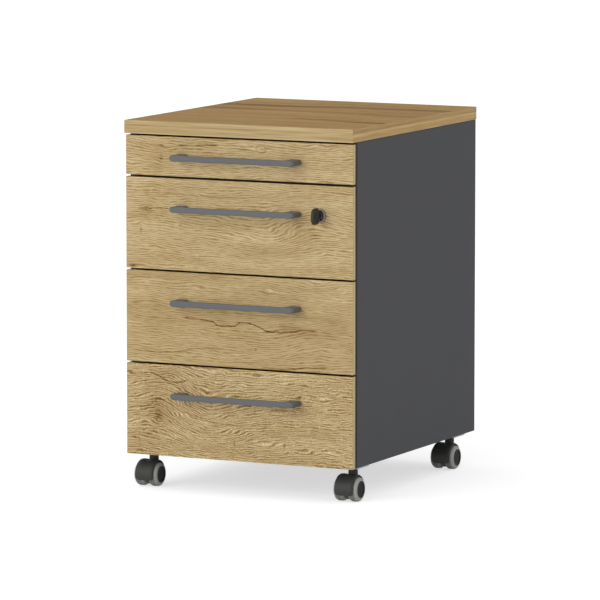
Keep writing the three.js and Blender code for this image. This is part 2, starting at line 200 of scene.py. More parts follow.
def miter(line: Points, ring: bool = True) -> Points:
    """Finds how corners move when all stretches between them move by one, out of a ring or to the right of a path.

    A step is the sum of the two stretches' unit normals over one plus their product.

    Args:
        line: the corners in order.
        ring: whether the last corner joins the first.

    Returns:
        One step for each corner.
    """
    ahead = unit(np.roll(line, -1, 0) - line if ring else np.diff(line, axis=0))
    normal = np.stack([ahead[:, 1], -ahead[:, 0]], -1)
    if ring:
        after = normal * np.sign((line[:, 0] * np.roll(line[:, 1], -1) - np.roll(line[:, 0], -1) * line[:, 1]).sum())
        before = np.roll(after, 1, 0)
    else:
        before, after = np.concatenate([normal[:1], normal]), np.concatenate([normal, normal[-1:]])
    return (before + after) / (1 + (before * after).sum(1, keepdims=True))


def rounded(corners: Sequence[Sequence[float]] | Points, radii: float | Sequence[float], steps: int = 4) -> Points:
    """Rounds the corners of a closed outline.

    An arc starts and ends radius times the tangent of half the turn from its corner, and between them its spoke
    turns evenly: it is the two end spokes weighted by the sines of the angle left and the angle gone.

    Args:
        corners: the outline's corners in order.
        radii: one radius, or one for each corner.
        steps: the number of sides of each arc.

    Returns:
        The rounded outline.
    """
    corner = np.asarray(corners, float)
    radius = np.broadcast_to(np.asarray(radii, float), (len(corner),))[:, None]
    come, go = unit(corner - np.roll(corner, 1, 0)), unit(np.roll(corner, -1, 0) - corner)
    turn = np.arccos(np.clip((come * go).sum(1, keepdims=True), -1, 1))
    middle = corner + unit(go - come) * radius / np.cos(turn / 2)
    start = corner - come * radius * np.tan(turn / 2) - middle
    end = corner + go * radius * np.tan(turn / 2) - middle
    share = np.linspace(0, 1, steps + 1)[None, :, None]
    angle = turn[:, :, None]
    spoke = np.sin((1 - share) * angle) * start[:, None] + np.sin(share * angle) * end[:, None]
    return (middle[:, None] + spoke / np.sin(angle)).reshape(-1, 2)


def four_corners(low: Sequence[float], high: Sequence[float]) -> Points:
    """A rectangle's corners, from its lowest one round."""
    return np.array([(low[0], low[1]), (high[0], low[1]), (high[0], high[1]), (low[0], high[1])])


def slab(
    outline: Points,
    low: float,
    high: float,
    axis: Axis,
    edge: float = 0.3,
    hole: Points | None = None,
    steps: int = 3,
) -> Shell:
    """Carries an outline along an axis and rounds the edges of both faces.

    Near a face the outline shrinks by edge times one minus the sine of an angle that goes from nought to a right
    angle while the height goes through edge times one minus its cosine.

    Args:
        outline: the closed outline, in the axis' two other directions.
        low: where it starts along the axis.
        high: where it ends.
        axis: the direction of its thickness.
        edge: the radius of the rounded edges.
        hole: an outline with as many points that is left open, matched point by point.
        steps: the number of sides of each rounded edge.

    Returns:
        The closed solid.
    """
    angle = np.linspace(0, QUARTER, steps + 1)
    shrink, rise = edge * (1 - np.sin(angle)), edge * (1 - np.cos(angle))
    insets = np.concatenate([shrink, shrink[::-1]])
    heights = np.concatenate([low + rise, (high - rise)[::-1]])
    loops = outline[None] - miter(outline)[None] * insets[:, None, None]
    if hole is not None:
        widened = hole + miter(hole) * edge
        loops = np.concatenate([loops, np.stack([widened, hole, hole, widened])])
        heights = np.concatenate([heights, [high, high - edge, low + edge, low]])
    return skin(placed(loops, heights[:, None], axis), ring=hole is not None)


def turned(profile: Points, centre: Sequence[float], axis: Axis, count: int = 48, ring: bool = False) -> Shell:
    """Turns a profile round an axis: each of its points makes a circle of that radius at that height.

    Args:
        profile: rows of radius and distance along the axis.
        centre: the point on the axis from which the distance counts.
        axis: the direction of the axis.
        count: the number of points of each circle.
        ring: whether the profile closes on itself, away from the axis.

    Returns:
        The closed solid.
    """
    radius, height = np.asarray(profile, float).T
    grid = placed(radius[:, None, None] * circle(count), height[:, None], axis)
    return skin(grid + np.asarray(centre, float), ring=ring)


def carried(section: Points, path: Points) -> Shell:
    """Carries a section along a level path with mitred corners.

    A section point lies at its first number times the path's mitred sideways direction, and at its second number
    above the path.

    Args:
        section: rows of sideways distance and height.
        path: rows of X and Y.

    Returns:
        The closed solid.
    """
    flat = path[:, None] + section[None, :, :1] * miter(path, ring=False)[:, None]
    height = np.broadcast_to(section[None, :, 1:], flat.shape[:2] + (1,))
    return skin(np.concatenate([flat, height], -1))


def folded(line: Sequence[tuple[float, float]], sheet: float, bend: float) -> Points:
    """Draws the outline of a folded sheet.

    It is the sheet's middle line moved out to both sides by half the sheet, with arcs of the bend's radius inside
    the folds and of the bend's radius plus the sheet outside them. Its two ends are broken by a fifth of the sheet.

    Args:
        line: the corners of the sheet's middle line.
        sheet: the sheet's thickness.
        bend: the inner radius of the folds.

    Returns:
        The closed outline.
    """
    corner = np.asarray(line, float)
    ahead = np.diff(corner, axis=0)
    left_way = -miter(corner, ring=False) * sheet / 2
    turning = np.zeros(len(corner))
    turning[1:-1] = np.sign(ahead[:-1, 0] * ahead[1:, 1] - ahead[:-1, 1] * ahead[1:, 0])
    left = np.where(turning > 0, bend, bend + sheet)
    right = np.where(turning < 0, bend, bend + sheet)
    left[[0, -1]] = right[[0, -1]] = sheet * 0.2
    outline = np.concatenate([corner + left_way, (corner - left_way)[::-1]])
    return rounded(outline, np.concatenate([left, right[::-1]]))


def screw_head(centre: Sequence[float], axis: Axis, way: int, radius: float, height: float) -> Shell:
    """Makes a pan head with a cross recess.

    The head's height over radius r is a dome, height times the fourth root of one minus (r / radius) to the fourth,
    less the recess where r times the sine or the cosine of its angle is small.

    Args:
        centre: the middle of the face that the head sits on.
        axis: the screw's direction.
        way: plus or minus one, the side on which the head stands.
        radius: the head's radius.
        height: the head's height.

    Returns:
        The closed solid.
    """
    half_slot, slot_end, deep, sunk = 0.17, 0.6, 0.65, 0.1
    share = np.concatenate([np.linspace(0.04, 0.62, 8), np.linspace(0.7, 1, 7)])[:, None]
    flat = share[..., None] * circle(40)
    dome = (1 - share**4) ** 0.25
    slot = np.clip((half_slot - abs(flat).min(-1)) / 0.06, 0, 1) * np.clip((slot_end - share) / 0.12, 0, 1)
    lift = (dome - deep * slot) * height * way
    under = np.full_like(lift[-1:], -sunk * way)
    grid = placed(np.concatenate([flat, flat[-1:]]) * radius, np.concatenate([lift, under]), axis)
    return skin(grid + np.asarray(centre, float))


# Finishes


Feed = bpy.types.Node | bpy.types.NodeSocket | float
Stops = tuple[tuple[float, str], ...]


class Recipe:
    """The node tree of a material or a world while it is being written."""

    def __init__(self, owner: bpy.types.ID) -> None:
        """Empties a tree.

        Args:
            owner: the material or the world that it belongs to.
        """
        self.owner = owner
        owner.use_nodes = True
        owner.node_tree.nodes.clear()

    def add(self, kind: str, *feeds: Feed, **named: object) -> bpy.types.Node:
        """Adds a node.

        Args:
            kind: the node's type without its first word, such as "TexNoise", and its operation where it has one.
            feeds: what goes into its first inputs: a value, a socket, or a node for its first socket.
            named: its settings by their names, and more feeds by their inputs' names with underscores for blanks.

        Returns:
            The node.
        """
        kind, _, operation = kind.partition(" ")
        tree = self.owner.node_tree
        node = tree.nodes.new("ShaderNode" + kind)
        if operation:
            node.operation = operation
        for name in [name for name in named if name[0].islower()]:
            setattr(node, name, named.pop(name))
        inputs = {name.replace("_", " "): value for name, value in named.items()}
        for place, value in [*enumerate(feeds), *inputs.items()]:
            if isinstance(value, bpy.types.Node):
                value = value.outputs[0]
            if isinstance(value, bpy.types.NodeSocket):
                tree.links.new(value, node.inputs[place])
            else:
                node.inputs[place].default_value = value
        return node

    def rulers(self) -> tuple[bpy.types.Node, bpy.types.Node]:
        """Adds the place on the part in millimetres, as a whole and split in three."""
        whole = self.add("VectorMath SCALE", self.add("TexCoord").outputs["Object"], Scale=1 / MM)
        return whole, self.add("SeparateXYZ", whole)

    def mark(self, node: bpy.types.Node, marks: Sequence[tuple[float, float | str]] | Points) -> bpy.types.Node:
        """Sets the stops of a colour ramp or the points of a curve.

        Args:
            node: the ramp or the curve.
            marks: places from nought to one, each with its sRGB colour or its height.

        Returns:
            The same node.
        """
        if hasattr(node, "color_ramp"):
            elements = node.color_ramp.elements
            while len(elements) < len(marks):
                elements.new(0.5)
            for element, (place, code) in zip(elements, marks):
                element.position = place
                element.color = linear(code)
            return node
        curve = node.mapping.curves[0]
        while len(curve.points) < len(marks):
            curve.points.new(0.5, 0.5)
        for point, place in zip(curve.points, marks):
            point.location = place
        node.mapping.update()
        return node

    def cover(self, paint: Feed, height: Feed, strength: float, depth: float, **shine: Feed) -> None:
        """Ends the tree with a surface that its relief lifts.

        Args:
            paint: its colour.
            height: its relief, from nought to one.
            strength: how much of the relief shows.
            depth: the relief's depth in millimetres.
            shine: what else the surface's inputs get.
        """
        relief = self.add("Bump", Strength=strength, Distance=depth * MM, Height=height)
        self.add("OutputMaterial", self.add("BsdfPrincipled", Base_Color=paint, Normal=relief, **shine))


class Finish:
    """A real surface that can dress a piece.

    Attributes:
        title: the material's name.
    """

    title: str

    def write(self, recipe: Recipe) -> None:
        """Writes the surface's nodes."""
        raise NotImplementedError


@cache
def material_of(finish: Finish) -> bpy.types.Material:
    """Gives the one material of a finish, made when it is first asked for.

    Args:
        finish: the surface.

    Returns:
        Its material.
    """
    recipe = Recipe(bpy.data.materials.new(finish.title))
    finish.write(recipe)
    return recipe.owner


@dataclass(frozen=True)
class Knot:
    """A knot, a smudge or a whorl of the oak decor.

    Attributes:
        along: its place along the grain.
        across: its place across the grain.
        length: its reach along the grain.
        height: its reach across the grain.
        push: how far the grain lines part round it, from nought to one.
        dark: how brown its heart is.
        ring: how brown the line round its heart is.
        lift: how far the grain rises over it, in millimetres; below nought it dips.
    """

    along: float
    across: float
    length: float
    height: float
    push: float = 0.8
    dark: float = 0.4
    ring: float = 0.0
    lift: float = 0.0


@dataclass(frozen=True)
class Crack:
    """A filled crack of the oak decor.

    Attributes:
        line: its points along and across the grain.
        width: its width.
        dark: how dark it is.
        broken: how much of it the streaks wipe out, from nought to one.
    """

    line: tuple[tuple[float, float], ...]
    width: float = 1.1
    dark: float = 0.5
    broken: float = 0.7


@dataclass(frozen=True)
class Figure:
    """What one cut of the oak decor shows.

    Attributes:
        seed: which stretch of the endless pattern it is.
        knots: its knots.
        cracks: its cracks.
        wave: how far the grain wanders over a hand's breadth, in millimetres.
        ripple: how far it wanders over a finger's breadth, in millimetres.
        curl: how far it curls over a fingernail's breadth, in millimetres.
        band: how strong the broad bands are.
        line: how dark the fine pore lines are.
        streak: how strong the streaks between them are.
        fleck: how strong the short flecks are.
        fleck_size: the length and height of such a fleck.
        dash: how dark the single long dashes are.
        dash_size: the length and height of such a dash.
        tone: how light it is, added to every place.
    """

    seed: float
    knots: tuple[Knot, ...] = ()
    cracks: tuple[Crack, ...] = ()
    wave: float = 14.0
    ripple: float = 4.0
    curl: float = 0.8
    band: float = 0.32
    line: float = 0.28
    streak: float = 0.26
    fleck: float = 0.26
    fleck_size: tuple[float, float] = (5.0, 2.0)
    dash: float = 0.1
    dash_size: tuple[float, float] = (30.0, 1.7)
    tone: float = 0.0


DARK_PLACES = (0.0, 0.25, 0.45, 0.62, 0.8, 1.0)
OAK = tuple(
    zip((0.0, 0.18, 0.42, 0.62, 0.8, 1.0), ("#3c2810", "#755831", "#9f814f", "#b69b6c", "#ceb688", "#e8d5aa"))
)
# The top's stops, darker and browner than the fronts': partly a browner tone of the top's own, partly painted shade
# for the top catching less light than the fronts
TOP_OAK_PAINTED_SHADE = tuple(zip(DARK_PLACES, ("#3a260e", "#6f5027", "#906e3c", "#a5814a", "#bb985e", "#d0b177")))
GOLD_OAK = tuple(zip(DARK_PLACES, ("#5a401b", "#886a38", "#a98550", "#be9a61", "#d4b073", "#e7c98c")))


@dataclass(frozen=True)
class OakDecor(Finish):
    """Melamine-faced chipboard, printed with a wild oak decor and pressed with pores that follow the print.

    It gives the eye straw-brown wavy streaks that run along the board and part round its knots, each with a light
    edge where the pressed relief catches the light, under a dull satin sheen. That light edge is partly the relief's
    own shading and partly a painted highlight along the ridges between the pore lines.

    Attributes:
        name: the board that it is cut for.
        figure: what the cut shows.
        across: the direction across the grain, which runs along X.
        stops: the colours from dark to light.
        matt: how dull it is.
    """

    name: str
    figure: Figure
    across: Axis = Axis.Z
    stops: Stops = OAK
    matt: float = 0.55

    @property
    def title(self) -> str:
        """The material's name."""
        return f"melamine_faced_board_oak_decor_{self.name}"

    def noise(self, recipe: Recipe, flat: Feed, length: float, height: float, detail: float) -> bpy.types.Node:
        """Adds noise that is stretched along the grain.

        Args:
            recipe: the material being written.
            flat: the place along and across the grain, in millimetres.
            length: the length of a blotch in millimetres.
            height: its height in millimetres.
            detail: the number of finer layers.

        Returns:
            The noise, one half on average.
        """
        # Odd steps, so that boards and heights of blotch share no stretch of the pattern
        shift = self.figure.seed * 7.31 + height * 3.7
        start = (shift, shift * 1.7, self.figure.seed)
        place = recipe.add("Mapping", flat, Location=start, Scale=(1 / length, 1 / height, 1))
        return recipe.add("TexNoise", place, Scale=1.0, Detail=detail, Roughness=0.6)

    def write(self, recipe: Recipe) -> None:
        """Writes the decor as one tone: bands, streaks, flecks and painted ridge highlights, less pore lines, knots
        and cracks.

        Args:
            recipe: the material being written.
        """
        add, figure = recipe.add, self.figure
        split = recipe.rulers()[1]
        along, across = split.outputs[0], split.outputs[self.across.value]
        flat = add("CombineXYZ", along, across)
        line = across
        for length, height, reach in ((210, 60, figure.wave), (48, 15, figure.ripple), (13, 9, figure.curl)):
            drift = add("Math SUBTRACT", self.noise(recipe, flat, length, height, 1.0), 0.5)
            line = add("Math MULTIPLY_ADD", drift, 2 * reach, line)
        browns = []
        for knot in figure.knots:
            line, brown = self.knot(recipe, knot, along, across, line)
            browns.append((-1.0, brown))
        grain = add("CombineXYZ", along, line)

        bands = self.noise(recipe, grain, 200, 27, 1.0)
        sweep = self.noise(recipe, grain, 60, 9, 1.0)
        streaks = self.noise(recipe, grain, 22, 1.6, 1.0)
        flecks = self.noise(recipe, grain, *figure.fleck_size, 2.0)
        breaks = self.noise(recipe, grain, 16, 2.4, 0.0)
        # Oak's pores are 0.3 mm wide and close; their lines are drawn every 3.6 mm, so that they show at arm's length
        pitch = 3.6
        phase = add("Math MULTIPLY_ADD", line, 2 * math.pi / pitch, add("Math MULTIPLY", sweep, 6.0))
        swing = add("Math SINE", phase)
        valley = add("MapRange", swing, 0.2, -1.0)
        # Painted highlight: a light line on each ridge between two pore lines, for the light that the pressed ridges
        # catch
        painted_ridge_highlight = add("MapRange", swing, 0.5, 1.0)
        pores = add("Math MULTIPLY", valley, add("MapRange", breaks, 0.4, 0.6, 0.1))
        dashes = add("MapRange", self.noise(recipe, grain, *figure.dash_size, 0.0), 0.64, 0.76)

        parts = [(figure.streak, streaks), (figure.fleck, flecks), (-figure.line, pores)]
        parts += [(0.45 * figure.line, painted_ridge_highlight), (-figure.dash, dashes), *browns]
        parts += [(-crack.dark, self.crack(recipe, crack, along, across, streaks)) for crack in figure.cracks]
        start = 0.66 + figure.tone - (figure.band + figure.streak + figure.fleck) / 2 + 0.2 * figure.line
        tone = add("Math MULTIPLY_ADD", bands, figure.band, start)
        for weight, part in parts:
            tone = add("Math MULTIPLY_ADD", part, weight, tone)
        paint = recipe.mark(add("ValToRGB", tone), self.stops)
        dull = add("MapRange", streaks, To_Min=self.matt + 0.08, To_Max=self.matt - 0.06)
        depth = add("Math SUBTRACT", streaks, pores)
        recipe.cover(paint, depth, 0.5, 0.3, Roughness=dull, IOR=1.5, Specular_IOR_Level=0.15)

    def knot(self, recipe: Recipe, knot: Knot, along: Feed, across: Feed, line: Feed) -> tuple[Feed, Feed]:
        """Adds a bell over an ellipse, which parts or lifts the grain and darkens its heart and the line round that.

        The bell is e to the power of minus the sum of both squared distances, each over its reach. The heart is the
        bell's fourth power, and the line is the sixth power of four times the bell times one minus the bell.

        Args:
            recipe: the material being written.
            knot: the knot's place, size and strength.
            along: the place along the grain, in millimetres.
            across: the place across the grain, in millimetres.
            line: the place across the wandering grain, in millimetres.

        Returns:
            The place across the grain with the knot in it, and how brown the knot is.
        """
        add = recipe.add
        wide = add("MapRange", along, knot.along, knot.along + knot.length, clamp=False)
        high = add("MapRange", across, knot.across, knot.across + knot.height, clamp=False)
        square = add("Math ADD", add("Math MULTIPLY", wide, wide), add("Math MULTIPLY", high, high))
        near = add("Math POWER", math.exp(-1), square)
        risen = add("Math MULTIPLY_ADD", near, -knot.lift, line)
        parted = add("Math MULTIPLY_ADD", add("Math MULTIPLY", near, high), -knot.push * knot.height, risen)
        sharp = add("Math POWER", add("Math MULTIPLY", add("Math SUBTRACT", 1.0, near), near), 6.0)
        ring = add("Math MULTIPLY", sharp, knot.ring * 4.0**6)
        return parted, add("Math MULTIPLY_ADD", add("Math POWER", near, 4.0), knot.dark, ring)

    def crack(self, recipe: Recipe, crack: Crack, along: Feed, across: Feed, streaks: Feed) -> Feed:
        """Adds a dark line that follows a curve across the face, shaken by the streaks, and thins out at its ends.

        Args:
            recipe: the material being written.
            crack: the crack's line, width and depth.
            along: the place along the grain, in millimetres.
            across: the place across the grain, in millimetres.
            streaks: the noise that shakes the line and breaks it up.

        Returns:
            One on the line and nought away from it.
        """
        add, shake = recipe.add, 4.0
        rows = np.array(crack.line)
        # A level line is still given some height, by which its shares are worked out
        low, high = rows.min(0), rows.max(0) + (0, 1e-3)
        share = add("MapRange", along, low[0], high[0])
        follow = recipe.mark(add("FloatCurve", Value=share), (rows - low) / (high - low))
        height = add("MapRange", follow, To_Min=low[1], To_Max=high[1])
        off = add("Math SUBTRACT", across, add("Math MULTIPLY_ADD", streaks, shake, height))
        gap = add("Math ABSOLUTE", add("Math ADD", off, shake / 2))
        near = add("MapRange", gap, 1.5 * crack.width, 0.2 * crack.width, interpolation_type="SMOOTHSTEP")
        ends = add("MapRange", add("Math PINGPONG", share, 0.5), From_Max=0.08)
        kept = add("MapRange", streaks, 0.38, 0.52, 1 - crack.broken)
        return add("Math MULTIPLY", add("Math MULTIPLY", near, ends), kept)


@dataclass(frozen=True)
class OakEdgeBand(Finish):
    """ABS edge band, 1 mm thick, printed with straight oak grain that runs along the edge.

    It gives the eye thin lengthwise streaks, a touch darker than the faces beside them.

    Attributes:
        run: the direction in which the grain runs.
        over: the direction of the board's thickness.
        low: where the thickness starts, in millimetres.
        high: where it ends.
        streaks: tones across the thickness, each a place from nought to one and a lightness; on the drawer fronts
            they also hold painted highlight and painted shade.
        stops: the colours from dark to light.
    """

    run: Axis
    over: Axis
    low: float
    high: float
    streaks: tuple[tuple[float, float], ...]
    stops: Stops = OAK

    @property
    def title(self) -> str:
        """The material's name."""
        return f"abs_edge_band_oak_along_{self.run.name}_{self.low:.0f}_{self.high:.0f}".replace("-", "m")

    def write(self, recipe: Recipe) -> None:
        """Writes the streaks: a tone over the thickness, shaken and streaked by noise drawn out along the grain.

        Args:
            recipe: the material being written.
        """
        add = recipe.add
        whole, split = recipe.rulers()
        share = add("MapRange", split.outputs[self.over.value], self.low, self.high)
        clouds = []
        for length, height in ((200, 3.2), (70, 1.0)):
            scale = [1 / height] * 3
            scale[self.run.value] = 1 / length
            stretched = add("Mapping", whole, Location=(height, 0, height), Scale=tuple(scale))
            clouds.append(add("Math SUBTRACT", add("TexNoise", stretched, Scale=1.0, Detail=1.0), 0.5))
        wander = add("Math MULTIPLY_ADD", clouds[0], 0.2, share)
        stripes = recipe.mark(add("FloatCurve", Value=wander), self.streaks)
        tone = add("Math MULTIPLY_ADD", clouds[1], 0.6, stripes)
        paint = recipe.mark(add("ValToRGB", tone), self.stops)
        recipe.cover(paint, clouds[1], 0.2, 0.1, Roughness=0.5, IOR=1.52, Specular_IOR_Level=0.15)


@dataclass(frozen=True)
class Grained(Finish):
    """A surface of one colour with a fine all-over grain, such as pressed, sprayed or moulded ones have.

    Attributes:
        title: what the surface really is and how it was made.
        colour: its colour.
        shade: the slightly darker colour in its hollows.
        grit: the size of a grain in millimetres.
        relief: the height of the grain in millimetres.
        roughness: how dull it is.
        metallic: one for bare metal.
        ior: the index of refraction of what isn't metal.
        gloss: how much of its reflections are left by its pits.
        stretch: how much longer a grain is along each direction.
    """

    title: str
    colour: str
    shade: str
    grit: float
    relief: float
    roughness: float
    metallic: float = 0.0
    ior: float = 1.5
    gloss: float = 0.2
    stretch: tuple[float, float, float] = (1.0, 1.0, 1.0)

    def write(self, recipe: Recipe) -> None:
        """Writes the grain: noise of the grit's size tints, dulls and lifts the surface a little.

        Args:
            recipe: the material being written.
        """
        add = recipe.add
        place = add("TexCoord").outputs["Object"]
        spread = add("Mapping", place, Scale=tuple(1 / MM / (self.grit * s) for s in self.stretch))
        cloud = add("TexNoise", spread, Scale=1.0, Detail=2.0, Roughness=0.55)
        both = add("Math MULTIPLY_ADD", add("TexNoise", place, Scale=9.0, Detail=1.0), 0.35, cloud)
        paint = recipe.mark(add("ValToRGB", both), [(0.35, self.shade), (0.75, self.colour)])
        dull = add("MapRange", cloud, To_Min=self.roughness - 0.05, To_Max=self.roughness + 0.05)
        shine = {"Metallic": self.metallic} if self.metallic else {"IOR": self.ior, "Specular_IOR_Level": self.gloss}
        recipe.cover(paint, cloud, 0.5, self.relief, Roughness=dull, **shine)


# Melamine-faced chipboard in anthracite, pressed with a pearl plate: deep grey, dull and even
ANTHRACITE = Grained("melamine_faced_board_anthracite_pearl", "#595a5c", "#565659", 0.9, 0.02, 0.7, gloss=0.15)
# ABS edge band in anthracite, extruded and scraped flush: the same grey, a little smoother
ANTHRACITE_BAND = Grained("abs_edge_band_anthracite", "#4e4e50", "#4a4a4c", 1.4, 0.01, 0.5)
# Chipboard wrapped in a paper foil, light grey, with a faint linen press: dull and clean
WRAP = Grained("foil_wrapped_board_light_grey", "#a3a29d", "#96958f", 1.1, 0.015, 0.55, stretch=(1.0, 3.0, 1.0))
# Lacquered hardboard: flat light grey over a barely felt fibre
HARDBOARD = Grained("lacquered_hardboard_light_grey", "#acaba6", "#9b9a94", 1.6, 0.02, 0.5, stretch=(3.0, 1.0, 1.0))
# Zinc die casting, sprayed with a fine metallic stoving lacquer in steel grey: satin, even, no clear reflections
HANDLE_LACQUER = Grained("zinc_casting_steel_grey_lacquer", "#6c6d6f", "#646567", 0.5, 0.008, 0.5)
# Brass turned and nickel plated, then polished: a warm, nearly clear mirror
NICKEL = Grained("polished_nickel_plate", "#aaa69e", "#98948c", 1.5, 0.002, 0.18, metallic=1.0)
# Zinc casting, tumbled and nickel plated, with a painted dark reflection in its colour: a dark metal with a soft
# gleam round its rim
NICKEL_PAINTED_DARK = Grained("tumbled_black_nickel_plate", "#74706a", "#605c55", 1.5, 0.002, 0.32, metallic=1.0)
# Steel pressed and bright zinc plated: cool, cloudy, half-sharp reflections
ZINC = Grained("bright_zinc_plated_steel", "#a7aaae", "#8d9094", 2.2, 0.006, 0.34, metallic=1.0)
# Steel pressed and zinc plated, painted dark for the shade of the seam that it is seen through: a dark, cloudy sheen
ZINC_PAINTED_SHADE = Grained("black_passivated_zinc_plated_steel", "#2f3031", "#242526", 2.2, 0.006, 0.45, metallic=1.0)
# Rolled steel with an epoxy powder coat in off-white: smooth with a slight orange peel
EPOXY = Grained("epoxy_coated_steel_off_white", "#d2d2cd", "#c3c3be", 1.8, 0.012, 0.38)
# Nylon, turned rollers: milky white and waxy
NYLON = Grained("moulded_nylon_white", "#dededa", "#d0d0cb", 1.0, 0.005, 0.4, ior=1.53)
# Glass-filled nylon moulded in a spark-eroded tool: black-grey with a dull bloom
HOOD_NYLON = Grained("moulded_nylon_black_spark_eroded", "#40413e", "#343532", 0.7, 0.02, 0.5, ior=1.53)
# The same nylon in a polished tool on the hub discs: darker, with a softer edge to its highlights
HUB_NYLON = Grained("moulded_nylon_black_smooth", "#2b2b29", "#222220", 0.8, 0.008, 0.5, ior=1.53, gloss=0.06)
# Soft thermoplastic polyurethane, moulded on: light grey and dull
TREAD_RUBBER = Grained("moulded_polyurethane_grey", "#b7b8b2", "#a9aaa4", 0.9, 0.015, 0.6)
# The same, darker, for painted shade on the running faces, which face the floor: with a coarser, darker grain
PAINTED_SHADE_RUBBER = Grained("moulded_polyurethane_grey_rolled", "#8b8b86", "#757570", 1.6, 0.03, 0.7)
# ABS key cap, moulded in a fine matt tool: black, slightly blue against the hood's nylon
KEY_ABS = Grained("moulded_abs_black", "#3c403f", "#2f3231", 0.5, 0.01, 0.45, ior=1.54, gloss=0.12)



# Pieces


@dataclass
class Piece:
    """One visible piece.

    Attributes:
        name: its name.
        shells: its closed surfaces.
        finishes: its finishes; without facing, all its faces take the first.
        body: the body that it rides on.
        slot: the record's material slot; not used.
        stands_for: the CAD nodes that it replaces.
        crease: the angle over which an edge stays sharp, in degrees.
        facing: gives each face's finish number from the faces' normals.
    """

    name: str
    shells: Sequence[Shell]
    finishes: Sequence[Finish]
    body: str
    slot: str
    stands_for: tuple[str, ...] = ()
    crease: float = 35.0
    facing: Callable[[Points], NDArray[np.int64]] | None = None

    def build(self) -> None:
        """Makes the mesh, dresses it and hangs it on its body, at the origin."""
        faces, start = [], 0
        for shell in self.shells:
            faces += (shell.quads + start).tolist() + [[corner + start for corner in lid] for lid in shell.lids]
            start += len(shell.points)
        mesh = bpy.data.meshes.new(self.name)
        mesh.from_pydata((np.concatenate([shell.points for shell in self.shells]) * MM).tolist(), [], faces)
        for finish in self.finishes:
            mesh.materials.append(material_of(finish))
        if self.facing is not None:
            normals = np.empty(len(faces) * 3, np.float32)
            mesh.polygons.foreach_get("normal", normals)
            numbers = self.facing(normals.reshape(-1, 3).astype(float))
            mesh.polygons.foreach_set("material_index", numbers.astype(np.int32))
        mesh.polygons.foreach_set("use_smooth", np.ones(len(faces), bool))
        mesh.set_sharp_from_angle(angle=math.radians(self.crease))
        mesh.update()
        piece = bpy.data.objects.new(self.name, mesh)
        bpy.context.scene.collection.objects.link(piece)
        # Flat faces keep their own normals, so that only the rounded arrises between them shade off
        shading = piece.modifiers.new("even_shading", "WEIGHTED_NORMAL")
        shading.keep_sharp = True
        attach(piece, self.body)
        if self.stands_for:
            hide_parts(*self.stands_for)
        LOG.info("%s: %d faces, on %s", self.name, len(faces), self.body)


def node_box(node: str) -> tuple[Points, Points]:
    """A CAD node's lowest and highest corner in millimetres."""
    low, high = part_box(node)
    return np.array(low) / MM, np.array(high) / MM


def keep_node(node: str, finish: Finish) -> None:
    """Leaves a CAD node showing, with a finish of its own.

    Args:
        node: the node's name.
        finish: the surface that it gets.
    """
    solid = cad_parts[node]
    solid.data.materials.clear()
    solid.data.materials.append(material_of(finish))
    LOG.info("%s: CAD node kept", node)


def refine(node: str, shells: Sequence[Shell], finish: Finish, body: str, slot: str, crease: float = 35.0) -> None:
    """Puts a finer piece of one finish in a CAD node's place.

    Args:
        node: the node's name.
        shells: the piece's closed surfaces.
        finish: its finish.
        body: the body that it rides on.
        slot: the record's material slot.
        crease: the angle over which an edge stays sharp, in degrees.
    """
    Piece(f"{node}_finished", shells, [finish], body, slot, (node,), crease).build()


@dataclass
class Board:
    """A flat board with faces and banded edges.

    Attributes:
        node: the CAD node that it stands for.
        thickness: the direction of its thickness.
        face: the finish of its two faces.
        bands: the finishes of the edges that face the thickness' two other directions, in their order.
        body: the body that it rides on.
        slot: the record's material slot.
        edge: the radius of its arrises.
        shy: how far its lower and its upper edge stay inside the CAD node's.
        hole: the centre and radius of a round hole through its faces.
    """

    node: str
    thickness: Axis
    face: Finish
    bands: tuple[Finish, Finish]
    body: str
    slot: str
    edge: float = 0.6
    shy: tuple[float, float] = (0.0, 0.0)
    hole: tuple[float, float, float] | None = None

    def facing(self, normals: Points) -> NDArray[np.int64]:
        """Nought for the faces, one and two for the edges, by the direction that a normal is nearest to."""
        return np.argmax(abs(normals[:, [self.thickness.value, *self.thickness.others]]), 1)

    def build(self) -> None:
        """Makes the board from its node's box."""
        low, high = node_box(self.node)
        low[2], high[2] = low[2] + self.shy[0], high[2] - self.shy[1]
        pair, across = list(self.thickness.others), self.thickness.value
        outline, opening = rounded(four_corners(low[pair], high[pair]), self.edge, 3), None
        if self.hole is not None:
            outline, opening = self.pierced(low[pair], high[pair])
        shell = slab(outline, low[across], high[across], self.thickness, self.edge, opening)
        finishes = [self.face, *self.bands]
        name = f"{self.node}_finished"
        Piece(name, [shell], finishes, self.body, self.slot, (self.node,), 50.0, self.facing).build()

    def pierced(self, low: Points, high: Points) -> tuple[Points, Points]:
        """Finds the board's outline and its hole, matched point by point.

        The outline's points are where rays from the hole's centre leave the rectangle, and the rays go evenly round
        with four more that meet the corners.

        Args:
            low: the rectangle's lowest corner.
            high: its highest corner.

        Returns:
            The outline and the hole.
        """
        centre, radius, count = np.array(self.hole[:2]), self.hole[2], 44
        corners = four_corners(low, high) - centre
        even = np.arange(count) * 2 * math.pi / count - math.pi
        ray = spokes(np.sort(np.concatenate([even, np.arctan2(*corners.T[::-1])])))
        reach = np.where(ray > 0, high - centre, centre - low) / np.maximum(abs(ray), 1e-9)
        return centre + ray * reach.min(1, keepdims=True), centre + ray * radius


